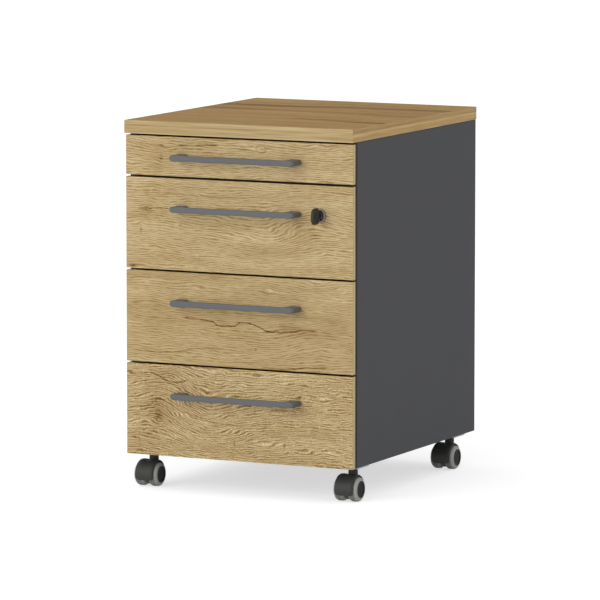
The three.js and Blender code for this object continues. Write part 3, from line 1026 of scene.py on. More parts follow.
@dataclass
class Carcass:
    """The fixed body: top, sides, bottom, back and the lock's rail.

    Attributes:
        rail_sheet: the thickness of the rail's steel.
        rail_bend: the inner radius of the rail's fold.
        top_figure: what the top's decor shows.
    """

    rail_sheet: float = 2.0
    rail_bend: float = 0.8
    top_figure: Figure = Figure(
        seed=3.0,
        knots=(
            Knot(-20, 22, 170, 34, 0.0, -0.12), Knot(-170, 60, 130, 40, 0.0, 0.1),
            Knot(60, 180, 200, 40, 0.0, 0.06), Knot(-130, 220, 120, 50, 0.0, -0.08),
            Knot(185, -107, 110, 18, 0.0, 0.3),
        ),
        cracks=(
            Crack(
                ((-250, 121), (-120, 123), (-60, 131), (-30, 137), (30, 144), (95, 144), (250, 148)), 17.0, 0.34, 0.5
            ),
            Crack(((-250, 54), (-95, 50), (-30, 45), (30, 39), (95, 37), (150, 24), (250, 20)), 18.0, 0.2, 0.6),
            Crack(((20, -82), (120, -98), (200, -110), (260, -113)), 13.0, 0.16, 0.5),
            Crack(((90, 56), (165, 60), (250, 62)), 9.0, 0.14, 0.5),
        ),
        wave=6.0,
        ripple=2.0,
        band=0.22,
        line=0.14,
        fleck=0.1,
        dash=0.3,
        dash_size=(260.0, 6.0),
        tone=0.01,
    )

    def build(self) -> None:
        """Makes the boards and the rail."""
        low, high = node_box("top_board")
        front_tones = ((0.0, 0.84), (0.12, 0.68), (0.55, 0.64), (0.62, 0.56), (0.7, 0.67), (1.0, 0.74))
        side_places = (0.0, 0.1, 0.3, 0.42, 0.5, 0.58, 0.64, 0.76, 0.86, 1.0)
        side_tones = tuple(zip(side_places, (0.8, 0.73, 0.73, 0.78, 0.92, 0.88, 0.68, 0.6, 0.68, 0.64)))
        front_band = OakEdgeBand(Axis.X, Axis.Z, low[2], high[2], front_tones)
        side_band = OakEdgeBand(Axis.Y, Axis.Z, low[2], high[2], side_tones, GOLD_OAK)
        top = OakDecor("top", self.top_figure, Axis.Y, TOP_OAK_PAINTED_SHADE, 0.75)
        Board("top_board", Axis.Z, top, (side_band, front_band), "cabinet", "oak_decor", 0.8).build()
        plain = (ANTHRACITE_BAND, ANTHRACITE_BAND)
        panels = [(f"{side.word}_side_panel", Axis.X, 0.6) for side in Side]
        for node, thickness, edge in [*panels, ("bottom_board", Axis.Z, 0.6), ("back_panel", Axis.Y, 0.4)]:
            Board(node, thickness, ANTHRACITE, plain, "cabinet", "anthracite_board", edge).build()
        self.build_rail()

    def build_rail(self) -> None:
        """Makes the folded angle that the cam hooks behind."""
        low, high = node_box("lock_rail")
        wall, shelf = high[1:] - self.rail_sheet / 2
        outline = folded([(wall, low[2]), (wall, shelf), (low[1], shelf)], self.rail_sheet, self.rail_bend)
        shell = slab(outline, low[0], high[0], Axis.X, 0.2)
        # The rail's dark finish is painted shade, for the dark seam in which it shows
        refine("lock_rail", [shell], ZINC_PAINTED_SHADE, "cabinet", "zinc_steel")


@dataclass
class Runner:
    """A pair of folded runner members, one on the cabinet and one on the drawer, each with its roller.

    Attributes:
        number: the drawer's number.
        side: the side of the cabinet.
        sheet: the thickness of the steel.
        bend: the inner radius of its folds.
        lip: how far the cabinet's channel reaches from the side panel.
        seat: how far the drawer's member reaches under the drawer.
        play: the gap between a roller or a lip and the steel beside it.
        lift: how much further up the drawer's roller sits.
        roller_radius: the radius of a roller.
        roller_width: the width of a roller.
        roller_inset: the distance of a roller's axis from the end of its member.
        rise: the height of a roller's axis over the channel's floor.
    """

    number: int
    side: Side
    sheet: float = 1.2
    bend: float = 0.6
    lip: float = 9.9
    seat: float = 10.3
    play: float = 0.8
    lift: float = 0.3
    roller_radius: float = 8.5
    roller_width: float = 6.6
    roller_inset: float = 12.0
    rise: float = 8.8

    def build(self) -> None:
        """Makes both members and both rollers."""
        way, half = self.side.value, self.sheet / 2
        fixed, moving = (f"{place}_{self.number}_{self.side.word}_runner" for place in ("cabinet", "drawer"))
        low, high = node_box(fixed)
        wall = high[0] if way > 0 else low[0]
        # The channel's own lip stops short of the roller, which the node's box also holds
        lip, web, inside = (wall - way * reach for reach in (self.lip, half, self.sheet + self.play))
        floor, roof, level = low[2] + half, high[2] - half, low[2] + self.sheet + self.rise
        member = self.member([(lip, floor), (web, floor), (web, roof), (lip, roof)], low[1], high[1])
        roller = self.roller(inside, inside - way * self.roller_width, low[1] + self.roller_inset, level)
        self.dress(fixed, member, roller, "cabinet")
        low, high = node_box(moving)
        inner = low[0] if way > 0 else high[0]
        web = inner + way * (self.seat + half)
        near = web + way * (half + self.play)
        floor, roof, level = low[2] + half, high[2] - half, low[2] + self.sheet + self.lift + self.rise
        member = self.member([(inner, floor), (web, floor), (web, roof), (inside, roof)], low[1], high[1])
        roller = self.roller(near, near + way * self.roller_width, high[1] - self.roller_inset, level)
        self.dress(moving, member, roller, f"drawer_{self.number}")

    def member(self, line: Sequence[tuple[float, float]], start: float, end: float) -> Shell:
        """A folded member from its middle line in X and Z, run along Y."""
        return slab(folded(line, self.sheet, self.bend)[:, ::-1], start, end, Axis.Y, 0.15, steps=1)

    def roller(self, first: float, second: float, depth: float, level: float) -> Shell:
        """Makes a roller with broken edges.

        Args:
            first: where one of its faces lies along X.
            second: where the other lies.
            depth: its axis' place along Y.
            level: its axis' height.

        Returns:
            The closed solid.
        """
        low, high = min(first, second), max(first, second)
        r, e = self.roller_radius, 0.8
        profile = [(1.0, low), (r - e, low), (r, low + e), (r, high - e), (r - e, high), (3.4, high), (1.0, high)]
        return turned(profile, (0, depth, level), Axis.X, 36)

    def dress(self, node: str, member: Shell, roller: Shell, body: str) -> None:
        """Finishes one member and its roller."""
        refine(node, [member], EPOXY, body, "runner_steel")
        Piece(f"{node}_roller", [roller], [NYLON], body, "runner_steel").build()


@dataclass
class BowHandle:
    """A cast bow handle: a flat bar bent back into two broad feet.

    Attributes:
        node: the CAD node that it stands for.
        body: the body that it rides on.
        foot_width: the width of a foot where it meets the front.
        bar: the bar's thickness, front to back.
        outer: the radius of the outer bend.
        inner: the radius of the inner bend.
        edge: the radius of its long edges.
        bend_edge: that radius where the bar bends back into the feet.
    """

    node: str
    body: str
    foot_width: float = 23.0
    bar: float = 7.0
    outer: float = 6.0
    inner: float = 12.0
    edge: float = 1.6
    bend_edge: float = 4.3

    def build(self) -> None:
        """Makes the handle.

        Its plan has an outer and an inner line. A section joins two points of the same number on them, and is a
        rectangle as high as the bar with rounded corners. Their radius grows towards bend_edge with the square of
        the way from the bar to the foot's outside.
        """
        low, high = node_box(self.node)
        half, back, front = high[0], high[1], low[1]
        gap = half - self.foot_width
        outer = self.plan_line(half, front, back, self.outer)
        inner = self.plan_line(gap, front + self.bar, back, self.inner)
        middle, reach = (outer + inner) / 2, (outer - inner) / 2
        length = np.linalg.norm(reach, axis=1, keepdims=True)
        rise, level = (high[2] - low[2]) / 2, (high[2] + low[2]) / 2
        quarter = spokes(np.linspace(0, QUARTER, 6))
        corner = np.repeat(four_corners((-1.0, -1.0), (1.0, 1.0)), len(quarter), axis=0)
        away = np.clip((abs(outer[:, :1]) - gap) / (half - gap - 1.0), 0, 1)
        edge = np.minimum(self.edge + (self.bend_edge - self.edge) * away**2, 0.95 * length)
        spoke = corner * np.concatenate([quarter, quarter[::-1]] * 2)
        across = corner[None, :, 0] * (length - edge) + spoke[None, :, 0] * edge
        up = corner[None, :, 1] * (rise - edge) + spoke[None, :, 1] * edge
        flat = middle[:, None] + (reach / length)[:, None] * across[..., None]
        shell = skin(np.concatenate([flat, (level + up)[..., None]], -1))
        refine(self.node, [shell], HANDLE_LACQUER, self.body, "handle_metal", 40.0)

    def plan_line(self, half: float, front: float, back: float, radius: float) -> Points:
        """Draws one line of the plan: straight forward, round a quarter, along the bar and back again.

        Args:
            half: its distance from the middle at the feet.
            front: how far forward it comes.
            back: where the feet end.
            radius: the radius of its bends.

        Returns:
            Its points in X and Y, with as many in each stretch whatever its sizes.
        """
        leg = np.linspace((-half, back), (-half, front + radius), 8)[:-1]
        corner = (radius - half, front + radius) - radius * spokes(np.linspace(0, QUARTER, 9))
        bar = np.linspace((radius - half, front), (half - radius, front), 25)[1:-1]
        one = np.concatenate([leg, corner])
        return np.concatenate([one, bar, (one * (-1, 1))[::-1]])


@dataclass
class Drawer:
    """A drawer: its front, its wrapped box, its bottom, its handle and its runners.

    Attributes:
        number: its number, counted from the top.
        figure: what its front's decor shows.
        shy: how far its front's lower and upper edge stay inside the CAD node's, which sets the seams' widths.
        hole: the radius of the lock's hole, or nought.
        wall: the thickness of the box's boards.
        groove: the depth of the groove for the bottom.
        rise: the height of the groove over the box's lower edge.
        slot_height: the height of the groove.
        screw_inset: the distance of the handle's screws from its ends.
        screw: the radius and the height of such a screw's head.
    """

    number: int
    figure: Figure
    shy: tuple[float, float]
    hole: float = 0.0
    wall: float = 12.0
    groove: float = 6.0
    rise: float = 10.0
    slot_height: float = 3.6
    screw_inset: float = 11.5
    screw: tuple[float, float] = (4.2, 2.2)

    @property
    def body(self) -> str:
        """The drawer's body."""
        return f"drawer_{self.number}"

    def build(self) -> None:
        """Makes the drawer's pieces."""
        self.build_front()
        self.build_box()
        plain = (HARDBOARD, HARDBOARD)
        Board(f"{self.body}_bottom", Axis.Z, HARDBOARD, plain, self.body, "drawer_board", 0.3).build()
        BowHandle(f"{self.body}_handle", self.body).build()
        self.build_screws()
        for side in Side:
            Runner(self.number, side).build()

    def build_front(self) -> None:
        """Makes the front: oak faces, with bands that run along each edge and carry painted shade, the upright ones a
        painted highlight too.
        """
        node = f"{self.body}_front"
        low, high = node_box(node)
        # Upright edges: a painted highlight across their middle and painted shade over their back, by the dark gap to
        # the carcass
        upright_highlight_and_shade = ((0.0, 0.84), (0.15, 0.84), (0.4, 1.0), (0.58, 0.92), (0.72, 0.3), (1.0, 0.2))
        upright = OakEdgeBand(Axis.Z, Axis.Y, low[1], high[1], upright_highlight_and_shade)
        # Level edges: painted shade, dark tones that stand for the shade deep in the seams between the fronts
        level = OakEdgeBand(Axis.X, Axis.Y, low[1], high[1], ((0.0, 0.22), (0.5, 0.1), (1.0, 0.22)))
        opening = None
        if self.hole:
            start, end = node_box("lock_housing")
            # The outline's two directions are Z and X here
            opening = ((start[2] + end[2]) / 2, (start[0] + end[0]) / 2, self.hole)
        decor = OakDecor(f"front_{self.number}", self.figure)
        Board(node, Axis.Y, decor, (level, upright), self.body, "oak_decor", 0.4, self.shy, opening).build()

    def build_box(self) -> None:
        """Makes the box's sides and back from one grooved section, carried round two mitred corners."""
        node = f"{self.body}_box"
        low, high = node_box(node)
        half, tall, roof = self.wall / 2, high[2] - low[2], self.rise + self.slot_height
        floor = self.groove - half
        corners = [(-half, 0), (half, 0), (half, tall), (-half, tall)]
        corners += [(-half, roof), (floor, roof), (floor, self.rise), (-half, self.rise)]
        section = rounded(corners, [0.5, 0.5, 2.0, 2.0, 0.3, 0.1, 0.1, 0.3]) + (0, low[2])
        left, right, back = low[0] + half, high[0] - half, high[1] - half
        path = np.array([(left, low[1]), (left, back), (right, back), (right, low[1])])
        # Seen from the first point the box's outside is on the left, so the section is turned over
        refine(node, [carried(section * (-1, 1), path)], WRAP, self.body, "drawer_board")

    def build_screws(self) -> None:
        """Makes the two screws that hold the handle, on the front's inner face."""
        low, high = node_box(f"{self.body}_handle")
        inner, level = node_box(f"{self.body}_front")[1][1], (low[2] + high[2]) / 2
        places = (low[0] + self.screw_inset, high[0] - self.screw_inset)
        heads = [screw_head((place, inner, level), Axis.Y, 1, *self.screw) for place in places]
        Piece(f"{self.body}_handle_screws", heads, [ZINC], self.body, "zinc_steel").build()


FIGURES = (
    Figure(
        seed=1.0,
        knots=(
            Knot(42, 582, 10, 7, 0.8, 0.12, 0.14), Knot(44, 583, 5, 3, 0.8, 0.1),
            Knot(-149, 549, 50, 44, 0.0, 0.14), Knot(25, 540, 120, 16, 0.0, -0.09), Knot(8, 579, 20, 3, 0.5, 0.28),
            Knot(-144, 560, 5, 13, 0.3, 0.14), Knot(-150, 580, 22, 6, 0.7, 0.1),
        ),
        cracks=(
            Crack(((-114, 583), (-93, 582), (-65, 584), (-37, 585)), 1.5, 0.45),
            Crack(((-100, 586), (-70, 588), (-30, 586), (30, 587)), 0.8, 0.25),
        ),
        tone=0.01,
    ),
    Figure(
        seed=2.0,
        knots=(
            Knot(-172, 474, 11, 9, 0.5, 0.16, 0.04), Knot(-152, 505, 26, 12, 0.5, 0.08, 0.08),
            Knot(-182, 438, 3, 12, 0.5, 0.25), Knot(-108, 449, 5, 8, 0.4, 0.18), Knot(122, 456, 60, 34, 0.3, 0.12),
            Knot(54, 425, 60, 42, 0.0, 0.0, 0.0, -14), Knot(134, 438, 50, 36, 0.0, 0.0, 0.0, 10),
            Knot(-172, 474, 90, 36, 0.0, 0.13), Knot(5, 430, 90, 28, 0.0, -0.09), Knot(165, 388, 80, 26, 0.0, 0.1),
            Knot(-115, 398, 160, 24, 0.0, 0.08), Knot(110, 441, 36, 12, 0.25, 0.05, 0.06),
            Knot(-199, 377, 14, 5, 0.8, 0.5),
        ),
        cracks=(
            Crack(((-190, 475), (-173, 473), (-164, 474), (-149, 476), (-128, 474)), 1.0, 0.5, 0.4),
            Crack(((-180, 500), (-120, 501), (-49, 499), (20, 500)), 0.8, 0.25),
        ),
        tone=0.02,
    ),
    Figure(
        seed=5.0,
        knots=(
            Knot(105, 284, 75, 17, 0.25, 0.2), Knot(150, 275, 70, 12, 0.2, 0.09),
            Knot(165, 262, 70, 40, 0.0, 0.0, 0.0, 13), Knot(32, 248, 3, 3, 0.4, 0.5),
            Knot(55, 348, 12, 8, 0.6, -0.1, 0.05), Knot(189, 354, 14, 7, 0.6, 0.0, 0.05),
            Knot(-148, 300, 74, 100, 0.0, 0.11), Knot(-165, 234, 80, 20, 0.0, 0.09),
            Knot(20, 360, 100, 22, 0.0, -0.08), Knot(180, 298, 60, 44, 0.0, 0.1),
            Knot(178, 249, 60, 24, 0.0, -0.07), Knot(-170, 352, 50, 10, 0.4, -0.12),
        ),
        cracks=(
            Crack(
                ((-110, 295), (-71, 293), (-48, 290), (-34, 284), (-8, 285))
                + ((6, 292), (23, 290), (43, 284), (58, 279), (80, 279)),
                dark=0.6,
                broken=0.35,
            ),
            Crack(((70, 279), (100, 281), (120, 285), (146, 284)), 1.2, 0.4),
            Crack(((-206, 236), (-160, 234), (-111, 237), (-60, 245), (-20, 244)), 1.0, 0.35),
            Crack(((40, 219), (80, 218), (120, 222), (170, 225)), 1.4, 0.4),
        ),
        band=0.36,
        line=0.24,
        streak=0.22,
        fleck=0.2,
        tone=-0.01,
    ),
    Figure(
        seed=8.0,
        knots=(
            Knot(-151, 124, 12, 17, 0.5, 0.3), Knot(-130, 196, 34, 12, 0.25, 0.06), Knot(112, 173, 7, 5, 0.8, 0.45),
            Knot(88, 186, 5, 4, 0.6, 0.25), Knot(-8, 88, 3, 9, 0.4, 0.3), Knot(84, 90, 4, 10, 0.4, 0.3),
            Knot(-50, 160, 50, 42, 0.1, 0.0), Knot(-60, 128, 62, 54, 0.0, 0.0, 0.0, -23),
            Knot(-150, 150, 50, 50, 0.0, 0.0, 0.0, 14), Knot(-110, 190, 46, 30, 0.0, 0.0, 0.0, 6),
            Knot(-150, 141, 60, 76, 0.0, 0.19), Knot(-180, 78, 60, 44, 0.0, 0.1),
            Knot(112, 205, 120, 24, 0.0, -0.1),
        ),
        cracks=(
            Crack(((-168, 199), (-148, 193), (-123, 184), (-94, 191)), 1.3, 0.5, 0.4),
            Crack(((-206, 138), (-168, 143), (-151, 154), (-134, 154)), 1.0, 0.4, 0.4),
            Crack(((-120, 139), (-83, 130), (-48, 121), (10, 118)), 0.9, 0.35, 0.5),
        ),
        ripple=6.0,
        curl=1.2,
        band=0.26,
        line=0.4,
        streak=0.36,
        fleck=0.85,
        fleck_size=(4.0, 1.8),
        tone=-0.03,
    ),
)

# For each front, how far its lower and its upper edge draw back: the seam under the first front is the widest
SHY_EDGES = ((0.5, 0.05), (0.3, 0.5), (0.3, 0.2), (0.0, 0.2))

LOCKED_DRAWER = 2
LOCK_HOLE = 9.3


@dataclass
class CamLock:
    """The cam lock of the second drawer and its key.

    Attributes:
        rosette_radius: the radius of the round plate on the front.
        rosette: its thickness.
        barrel_radius: the radius of the threaded barrel.
        bore_radius: the radius of the barrel's bore.
        plug_radius: the radius of the turning plug.
        keyway: half the keyway's height and half its width.
        nut_play: how much wider the nut's hole is than the barrel.
        cam_screw: the radius and the height of the head of the cam's screw.
        thread: the pitch of the barrel's thread.
        cuts: the key's cuts, each its distance from the tip's slope and the height that it leaves.
        bow_radii: the radii of the key cap's corners, from the lower front one round by the back.
        ring_hole: the radius of the hole in the key cap.
        ring_inset: the distance of that hole's middle from the cap's front.
    """

    rosette_radius: float = 11.5
    rosette: float = 2.5
    barrel_radius: float = 9.0
    bore_radius: float = 6.3
    plug_radius: float = 6.0
    keyway: tuple[float, float] = (4.171, 1.358)
    nut_play: float = 0.2
    cam_screw: tuple[float, float] = (4.0, 2.0)
    thread: float = 1.5
    cuts: tuple[tuple[float, float], ...] = (
        *((0.0, 2.0), (2.2, 2.6), (3.8, 1.2), (5.6, 2.4)),
        *((7.6, 0.8), (9.4, 2.2), (11.2, 1.4), (13.0, 0.0)),
    )
    bow_radii: tuple[float, float, float, float] = (9.0, 7.0, 7.0, 11.0)
    ring_hole: float = 2.0
    ring_inset: float = 6.5

    @property
    def middle(self) -> Points:
        """The place of the lock's axis along Z and X, which are the two directions of the outlines across it."""
        low, high = node_box("lock_housing")
        return (low + high)[[2, 0]] / 2

    def build(self) -> None:
        """Makes the lock's pieces and the key's."""
        self.build_housing()
        self.build_plug()
        self.build_nut()
        self.build_cam()
        self.build_key()

    def build_housing(self) -> None:
        """Makes the rosette with its threaded barrel, a closed profile turned round the lock's axis."""
        front, back = (corner[1] for corner in node_box("lock_housing"))
        level, across = self.middle
        edge, bore, barrel, base = self.rosette_radius, self.bore_radius, self.barrel_radius, front + self.rosette
        count = int((back - base - 2.0) / self.thread)
        ridge = base + 1.6 + self.thread * np.repeat(np.arange(count), 2) + np.tile([0.0, self.thread / 2], count)
        thread = np.stack([barrel - np.tile([0.0, 0.45], count), ridge], -1)
        rosette = [(bore, front + 0.4), (bore + 0.5, front), (edge - 2.2, front), (edge - 1.1, front + 0.25)]
        rosette += [(edge - 0.35, front + 0.8), (edge, front + 1.5), (edge, base), (barrel, base)]
        profile = np.concatenate([rosette, thread, [(barrel - 0.4, back), (bore, back)]])
        shell = turned(profile, (across, 0.0, level), Axis.Y, 64, ring=True)
        # The rosette's darkness is a painted dark reflection in its nickel
        refine("lock_housing", [shell], NICKEL_PAINTED_DARK, f"drawer_{LOCKED_DRAWER}", "nickel", 25.0)

    def build_plug(self) -> None:
        """Makes the plug with its keyway, whose outline is matched to the plug's circle point by point."""
        low, high = node_box("lock_plug")
        middle, ray = self.middle, circle(48)
        reach = (self.keyway / np.maximum(abs(ray), 1e-6)).min(1, keepdims=True)
        shell = slab(middle + ray * self.plug_radius, low[1], high[1], Axis.Y, 0.4, middle + ray * reach)
        refine("lock_plug", [shell], NICKEL_PAINTED_DARK, "lock_barrel", "nickel")

    def build_nut(self) -> None:
        """Makes the thin hexagon nut behind the front."""
        low, high = node_box("lock_nut")
        middle, corner = self.middle, (high[2] - low[2]) / 2 / math.cos(math.pi / 6)
        outline = rounded(middle + spokes(np.arange(6) * math.pi / 3 + QUARTER) * corner, 1.0, 7)
        hole = middle + unit(outline - middle) * (self.barrel_radius + self.nut_play)
        shell = slab(outline, low[1], high[1], Axis.Y, 0.4, hole)
        refine("lock_nut", [shell], ZINC, f"drawer_{LOCKED_DRAWER}", "zinc_steel")

    def build_cam(self) -> None:
        """Makes the cam, a flat tongue with round ends, and the screw that holds it."""
        low, high = node_box("lock_cam")
        outline = rounded(four_corners((low[2], low[0]), (high[2], high[0])), (high[2] - low[2]) / 2 * 0.98, 10)
        refine("lock_cam", [slab(outline, low[1], high[1], Axis.Y)], ZINC, "lock_barrel", "zinc_steel")
        level, across = self.middle
        head = screw_head((across, high[1], level), Axis.Y, 1, *self.cam_screw)
        Piece("lock_cam_screw", [head], [ZINC], "lock_barrel", "zinc_steel").build()

    def build_key(self) -> None:
        """Makes the key: a blade with cuts along its lower edge, and a black cap with a hole for a ring."""
        low, high = node_box("key_blade")
        tip, heel = high[1], low[1]
        teeth = np.array(self.cuts) * (-1, 1) + (tip - 1.5, low[2])
        corners = np.concatenate([teeth, [(heel, low[2]), (heel, high[2]), (tip - 2, high[2]), (tip, high[2] - 3)]])
        shell = slab(rounded(corners, 0.25, 2), low[0], high[0], Axis.X, 0.25)
        refine("key_blade", [shell], NICKEL, "key", "nickel")
        low, high = node_box("key_bow")
        outline = rounded(four_corners(low[1:], high[1:]), self.bow_radii, 8)
        middle = np.array([low[1] + self.ring_inset, self.middle[0]])
        hole = middle + unit(outline - middle) * self.ring_hole
        cap = slab(outline, low[0], high[0], Axis.X, 2.0, hole, 5)
        refine("key_bow", [cap], KEY_ABS, "key", "black_plastic", 40.0)


@dataclass
class Castor:
    """A twin-wheel castor with a hood.

    Attributes:
        name: its place, such as "front_left".
        hood_radius: the hood's outer radius about the axle.
        hood_sheet: the hood's thickness.
        hood_width: the hood's width.
        drop: how far below the axle's level the hood's front lip reaches, in degrees.
        saddle: how much lower the hood is in its middle than over the wheels.
        lip_corner: the radius of the lips' corners.
        trail: the distance from the swivel axis to the axle.
        neck_radius: the radius of the neck.
        web: the thickness of the plate between the wheels.
        web_radius: the radius of that plate below the axle.
        wheel_radius: the radius of the tread.
        hub_radius: the radius of the hub disc.
        inner_face: the distance of a wheel's inner face from the castor's middle.
        outer_face: the distance of its outer face.
        shoulder: the distance at which the tread starts to bend in.
        screw_reach: how far the plate's screws are from the swivel axis, along X and along Y.
        screw_drop: how far the plate's underside lies below its top.
        screw: the radius and the height of a screw's head.
    """

    name: str
    hood_radius: float = 25.0
    hood_sheet: float = 2.7
    hood_width: float = 33.0
    drop: float = 20.5
    saddle: float = 1.3
    lip_corner: float = 4.0
    trail: float = 15.0
    neck_radius: float = 8.0
    web: float = 6.0
    web_radius: float = 17.5
    wheel_radius: float = 20.5
    hub_radius: float = 14.3
    inner_face: float = 3.6
    outer_face: float = 22.0
    shoulder: float = 15.1
    screw_reach: float = 15.0
    screw_drop: float = 2.5
    screw: tuple[float, float] = (4.0, 1.6)

    @property
    def axle(self) -> Points:
        """The middle of the axle."""
        low, high = node_box(f"castor_{self.name}_hood")
        return np.array([*(low + high)[:2] / 2, self.wheel_radius])

    @property
    def wall(self) -> float:
        """The radius of the middle of the hood's sheet."""
        return self.hood_radius - self.hood_sheet / 2

    def build(self) -> None:
        """Makes the castor's pieces round its axle."""
        hood, shells = f"castor_{self.name}_hood", [self.hood_shell(), self.web_shell(), self.neck_shell()]
        refine(hood, shells, HOOD_NYLON, f"{self.name}_fork", "black_plastic", 40.0)
        for side in Side:
            self.build_wheel(side)
        keep_node(f"castor_{self.name}_plate", ZINC)
        self.build_screws()

    def hood_shell(self) -> Shell:
        """Makes the hood: a section that is carried over the wheels, from behind the axle to the front lip.

        Over X the section's outside lies at the hood's radius, less a droop that grows with the eighth power towards
        its edges, less the saddle, a bell in X and in the angle. Near both ends the section narrows as a quarter
        circle does, which rounds the corners of the lips.

        Returns:
            The closed solid.
        """
        # The steps are finer near the lips, whose corners are round
        degrees = np.concatenate([
            np.linspace(0, 9, 6), np.linspace(16, 172, 34), np.linspace(178, 180 + self.drop, 12)
        ])
        angle, half = np.radians(degrees), self.hood_width / 2
        shape = np.sin(np.linspace(-QUARTER, QUARTER, 29))[None]
        bell = np.exp(-((shape * half / 6.0) ** 2)) * np.exp(-(((degrees - 88) / 48) ** 2))[:, None]
        radius = self.hood_radius - 1.5 * abs(shape) ** 8 - self.saddle * bell
        near = np.minimum(angle[-1] - angle, angle) * self.hood_radius / self.lip_corner
        share = np.clip(1 - near, 0, 1)[:, None]
        over = shape * (half - self.lip_corner * (1 - np.sqrt(1 - share**2)))
        top = np.stack([over, radius], -1)
        under = np.stack([over[:, ::-1], np.full_like(radius, self.hood_radius - self.hood_sheet)], -1)
        section = np.concatenate([top, under], 1)
        return skin(np.concatenate([section[..., :1], section[..., 1:] * spokes(angle)[:, None]], -1) + self.axle)

    def web_shell(self) -> Shell:
        """Makes the plate between the wheels: a disc below, grown up to the hood's wall above the lips.

        Its radius goes from the disc's to the wall's in eight degrees at each lip.

        Returns:
            The closed solid.
        """
        axle, ray, degrees = self.axle, circle(96), np.arange(96) * 360 / 96
        grown = np.clip((degrees + 2) / 8, 0, 1) * np.clip((180 + self.drop - 3 - degrees) / 8, 0, 1)
        grown = np.maximum(grown, np.clip((degrees - 358) / 8, 0, 1))
        radius = self.web_radius + (self.wall - self.web_radius) * grown
        outline = ray * radius[:, None] + axle[1:]
        return slab(outline, axle[0] - self.web / 2, axle[0] + self.web / 2, Axis.X, 0.6)

    def neck_shell(self) -> Shell:
        """Makes the neck: rings about the swivel axis, whose lower end lies on a cylinder inside the hood's wall.

        That end's height is the axle's plus the root of the wall's radius squared less the distance from the axle
        squared, and the neck flares out by two millimetres where it meets the hood.

        Returns:
            The closed solid.
        """
        axle, spoke, top = self.axle, circle(48), node_box(f"castor_{self.name}_hood")[1][2]

        def seat(radius: Points) -> Points:
            """Height of the hood's wall under the points at that radius."""
            depth = self.trail + radius * spoke[None, :, 1]
            return np.sqrt(np.maximum(self.wall**2 - depth**2, 9.0)) + axle[2]

        inner = np.array([1.0, 3.5, 6.0, self.neck_radius])[:, None]
        share = np.array([0.0, 0.06, 0.13, 0.22, 0.35, 0.6, 0.85, 0.85, 1.0])[:, None]
        step = np.array([0, 0, 0, 0, 0, 0, 0, 0.8, 0.8])[:, None]
        flare = self.neck_radius + 2.0 * np.exp(-share * 14) - step
        foot = seat(np.full((1, 1), self.neck_radius + 1.0)) - 0.5
        height = np.concatenate([np.minimum(seat(inner), top - 8), foot + (top - foot) * share])
        flat = np.concatenate([inner, flare])[..., None] * spoke
        return skin(np.concatenate([flat, height[..., None]], -1) + (axle[0], axle[1] + self.trail, 0))

    def build_wheel(self, side: Side) -> None:
        """Makes a wheel: a soft grey tread round a black hub with a dished disc outside.

        Args:
            side: the side of the castor.
        """
        node = f"castor_{self.name}_{side.word}_wheel"
        body = f"{self.name}_{side.word}_roller"
        tread, hub, inside, outside = self.wheel_radius, self.hub_radius, self.inner_face, self.outer_face
        bend = spokes(np.linspace(0, QUARTER, 13))
        flat, deep = tread - hub - 0.5, outside - 0.4 - self.shoulder
        shoulder = (tread - flat, self.shoulder) + bend * (flat, deep)
        start = [(hub, inside + 0.6), (hub + 1.2, inside), (tread - 4.5, inside), (tread - 3.6, inside + 0.3)]
        flank = [(tread - 0.9, inside + 3.4), (tread - 0.25, inside + 4.4), (tread, 9.2)]
        band = np.concatenate([start, flank, shoulder, [(hub, outside - 0.5)]])
        # The hub's rows are radius and distance from the wheel's inner or outer face
        back = [(1.0, 0.4), (4.2, 0.4), (5.0, 1.6), (10.5, 1.6), (11.5, 0.4), (hub - 0.05, 0.4)]
        dish = [(hub - 0.05, -0.35), (hub - 0.4, 0.0), (hub - 1.7, 0.0), (hub - 2.6, -0.45), (hub - 3.8, -1.0)]
        dish += [(hub - 6.5, -1.15), (4.0, -1.0), (1.0, -1.0)]
        disc = np.concatenate([np.array(back) + (0, inside), np.array(dish) + (0, outside)])
        way = (1, side.value)
        ring = turned(band * way, self.axle, Axis.X, 72, ring=True)
        # The running faces take a darker copy of the tread, painted shade for their facing the floor
        finishes = [TREAD_RUBBER, PAINTED_SHADE_RUBBER]
        Piece(f"{node}_tread", [ring], finishes, body, "grey_tread", (node,), 30.0, self.rolled).build()
        core = turned(disc * way, self.axle, Axis.X, 72)
        Piece(f"{node}_hub", [core], [HUB_NYLON], body, "black_plastic", (), 30.0).build()

    def rolled(self, normals: Points) -> NDArray[np.int64]:
        """One for the faces that roll on the floor, which take the painted shade, nought for the tread's flanks."""
        return (abs(normals[:, 0]) < 0.3).astype(int)

    def build_screws(self) -> None:
        """Makes the four screws that hold the plate under the bottom board."""
        middle = (*self.axle[:2] + (0, self.trail), node_box(f"castor_{self.name}_plate")[1][2] - self.screw_drop)
        ways = [(x * self.screw_reach, y * self.screw_reach, 0) for x in (-1, 1) for y in (-1, 1)]
        heads = [screw_head(np.add(middle, way), Axis.Z, -1, *self.screw) for way in ways]
        Piece(f"castor_{self.name}_screws", heads, [ZINC], "cabinet", "zinc_steel").build()


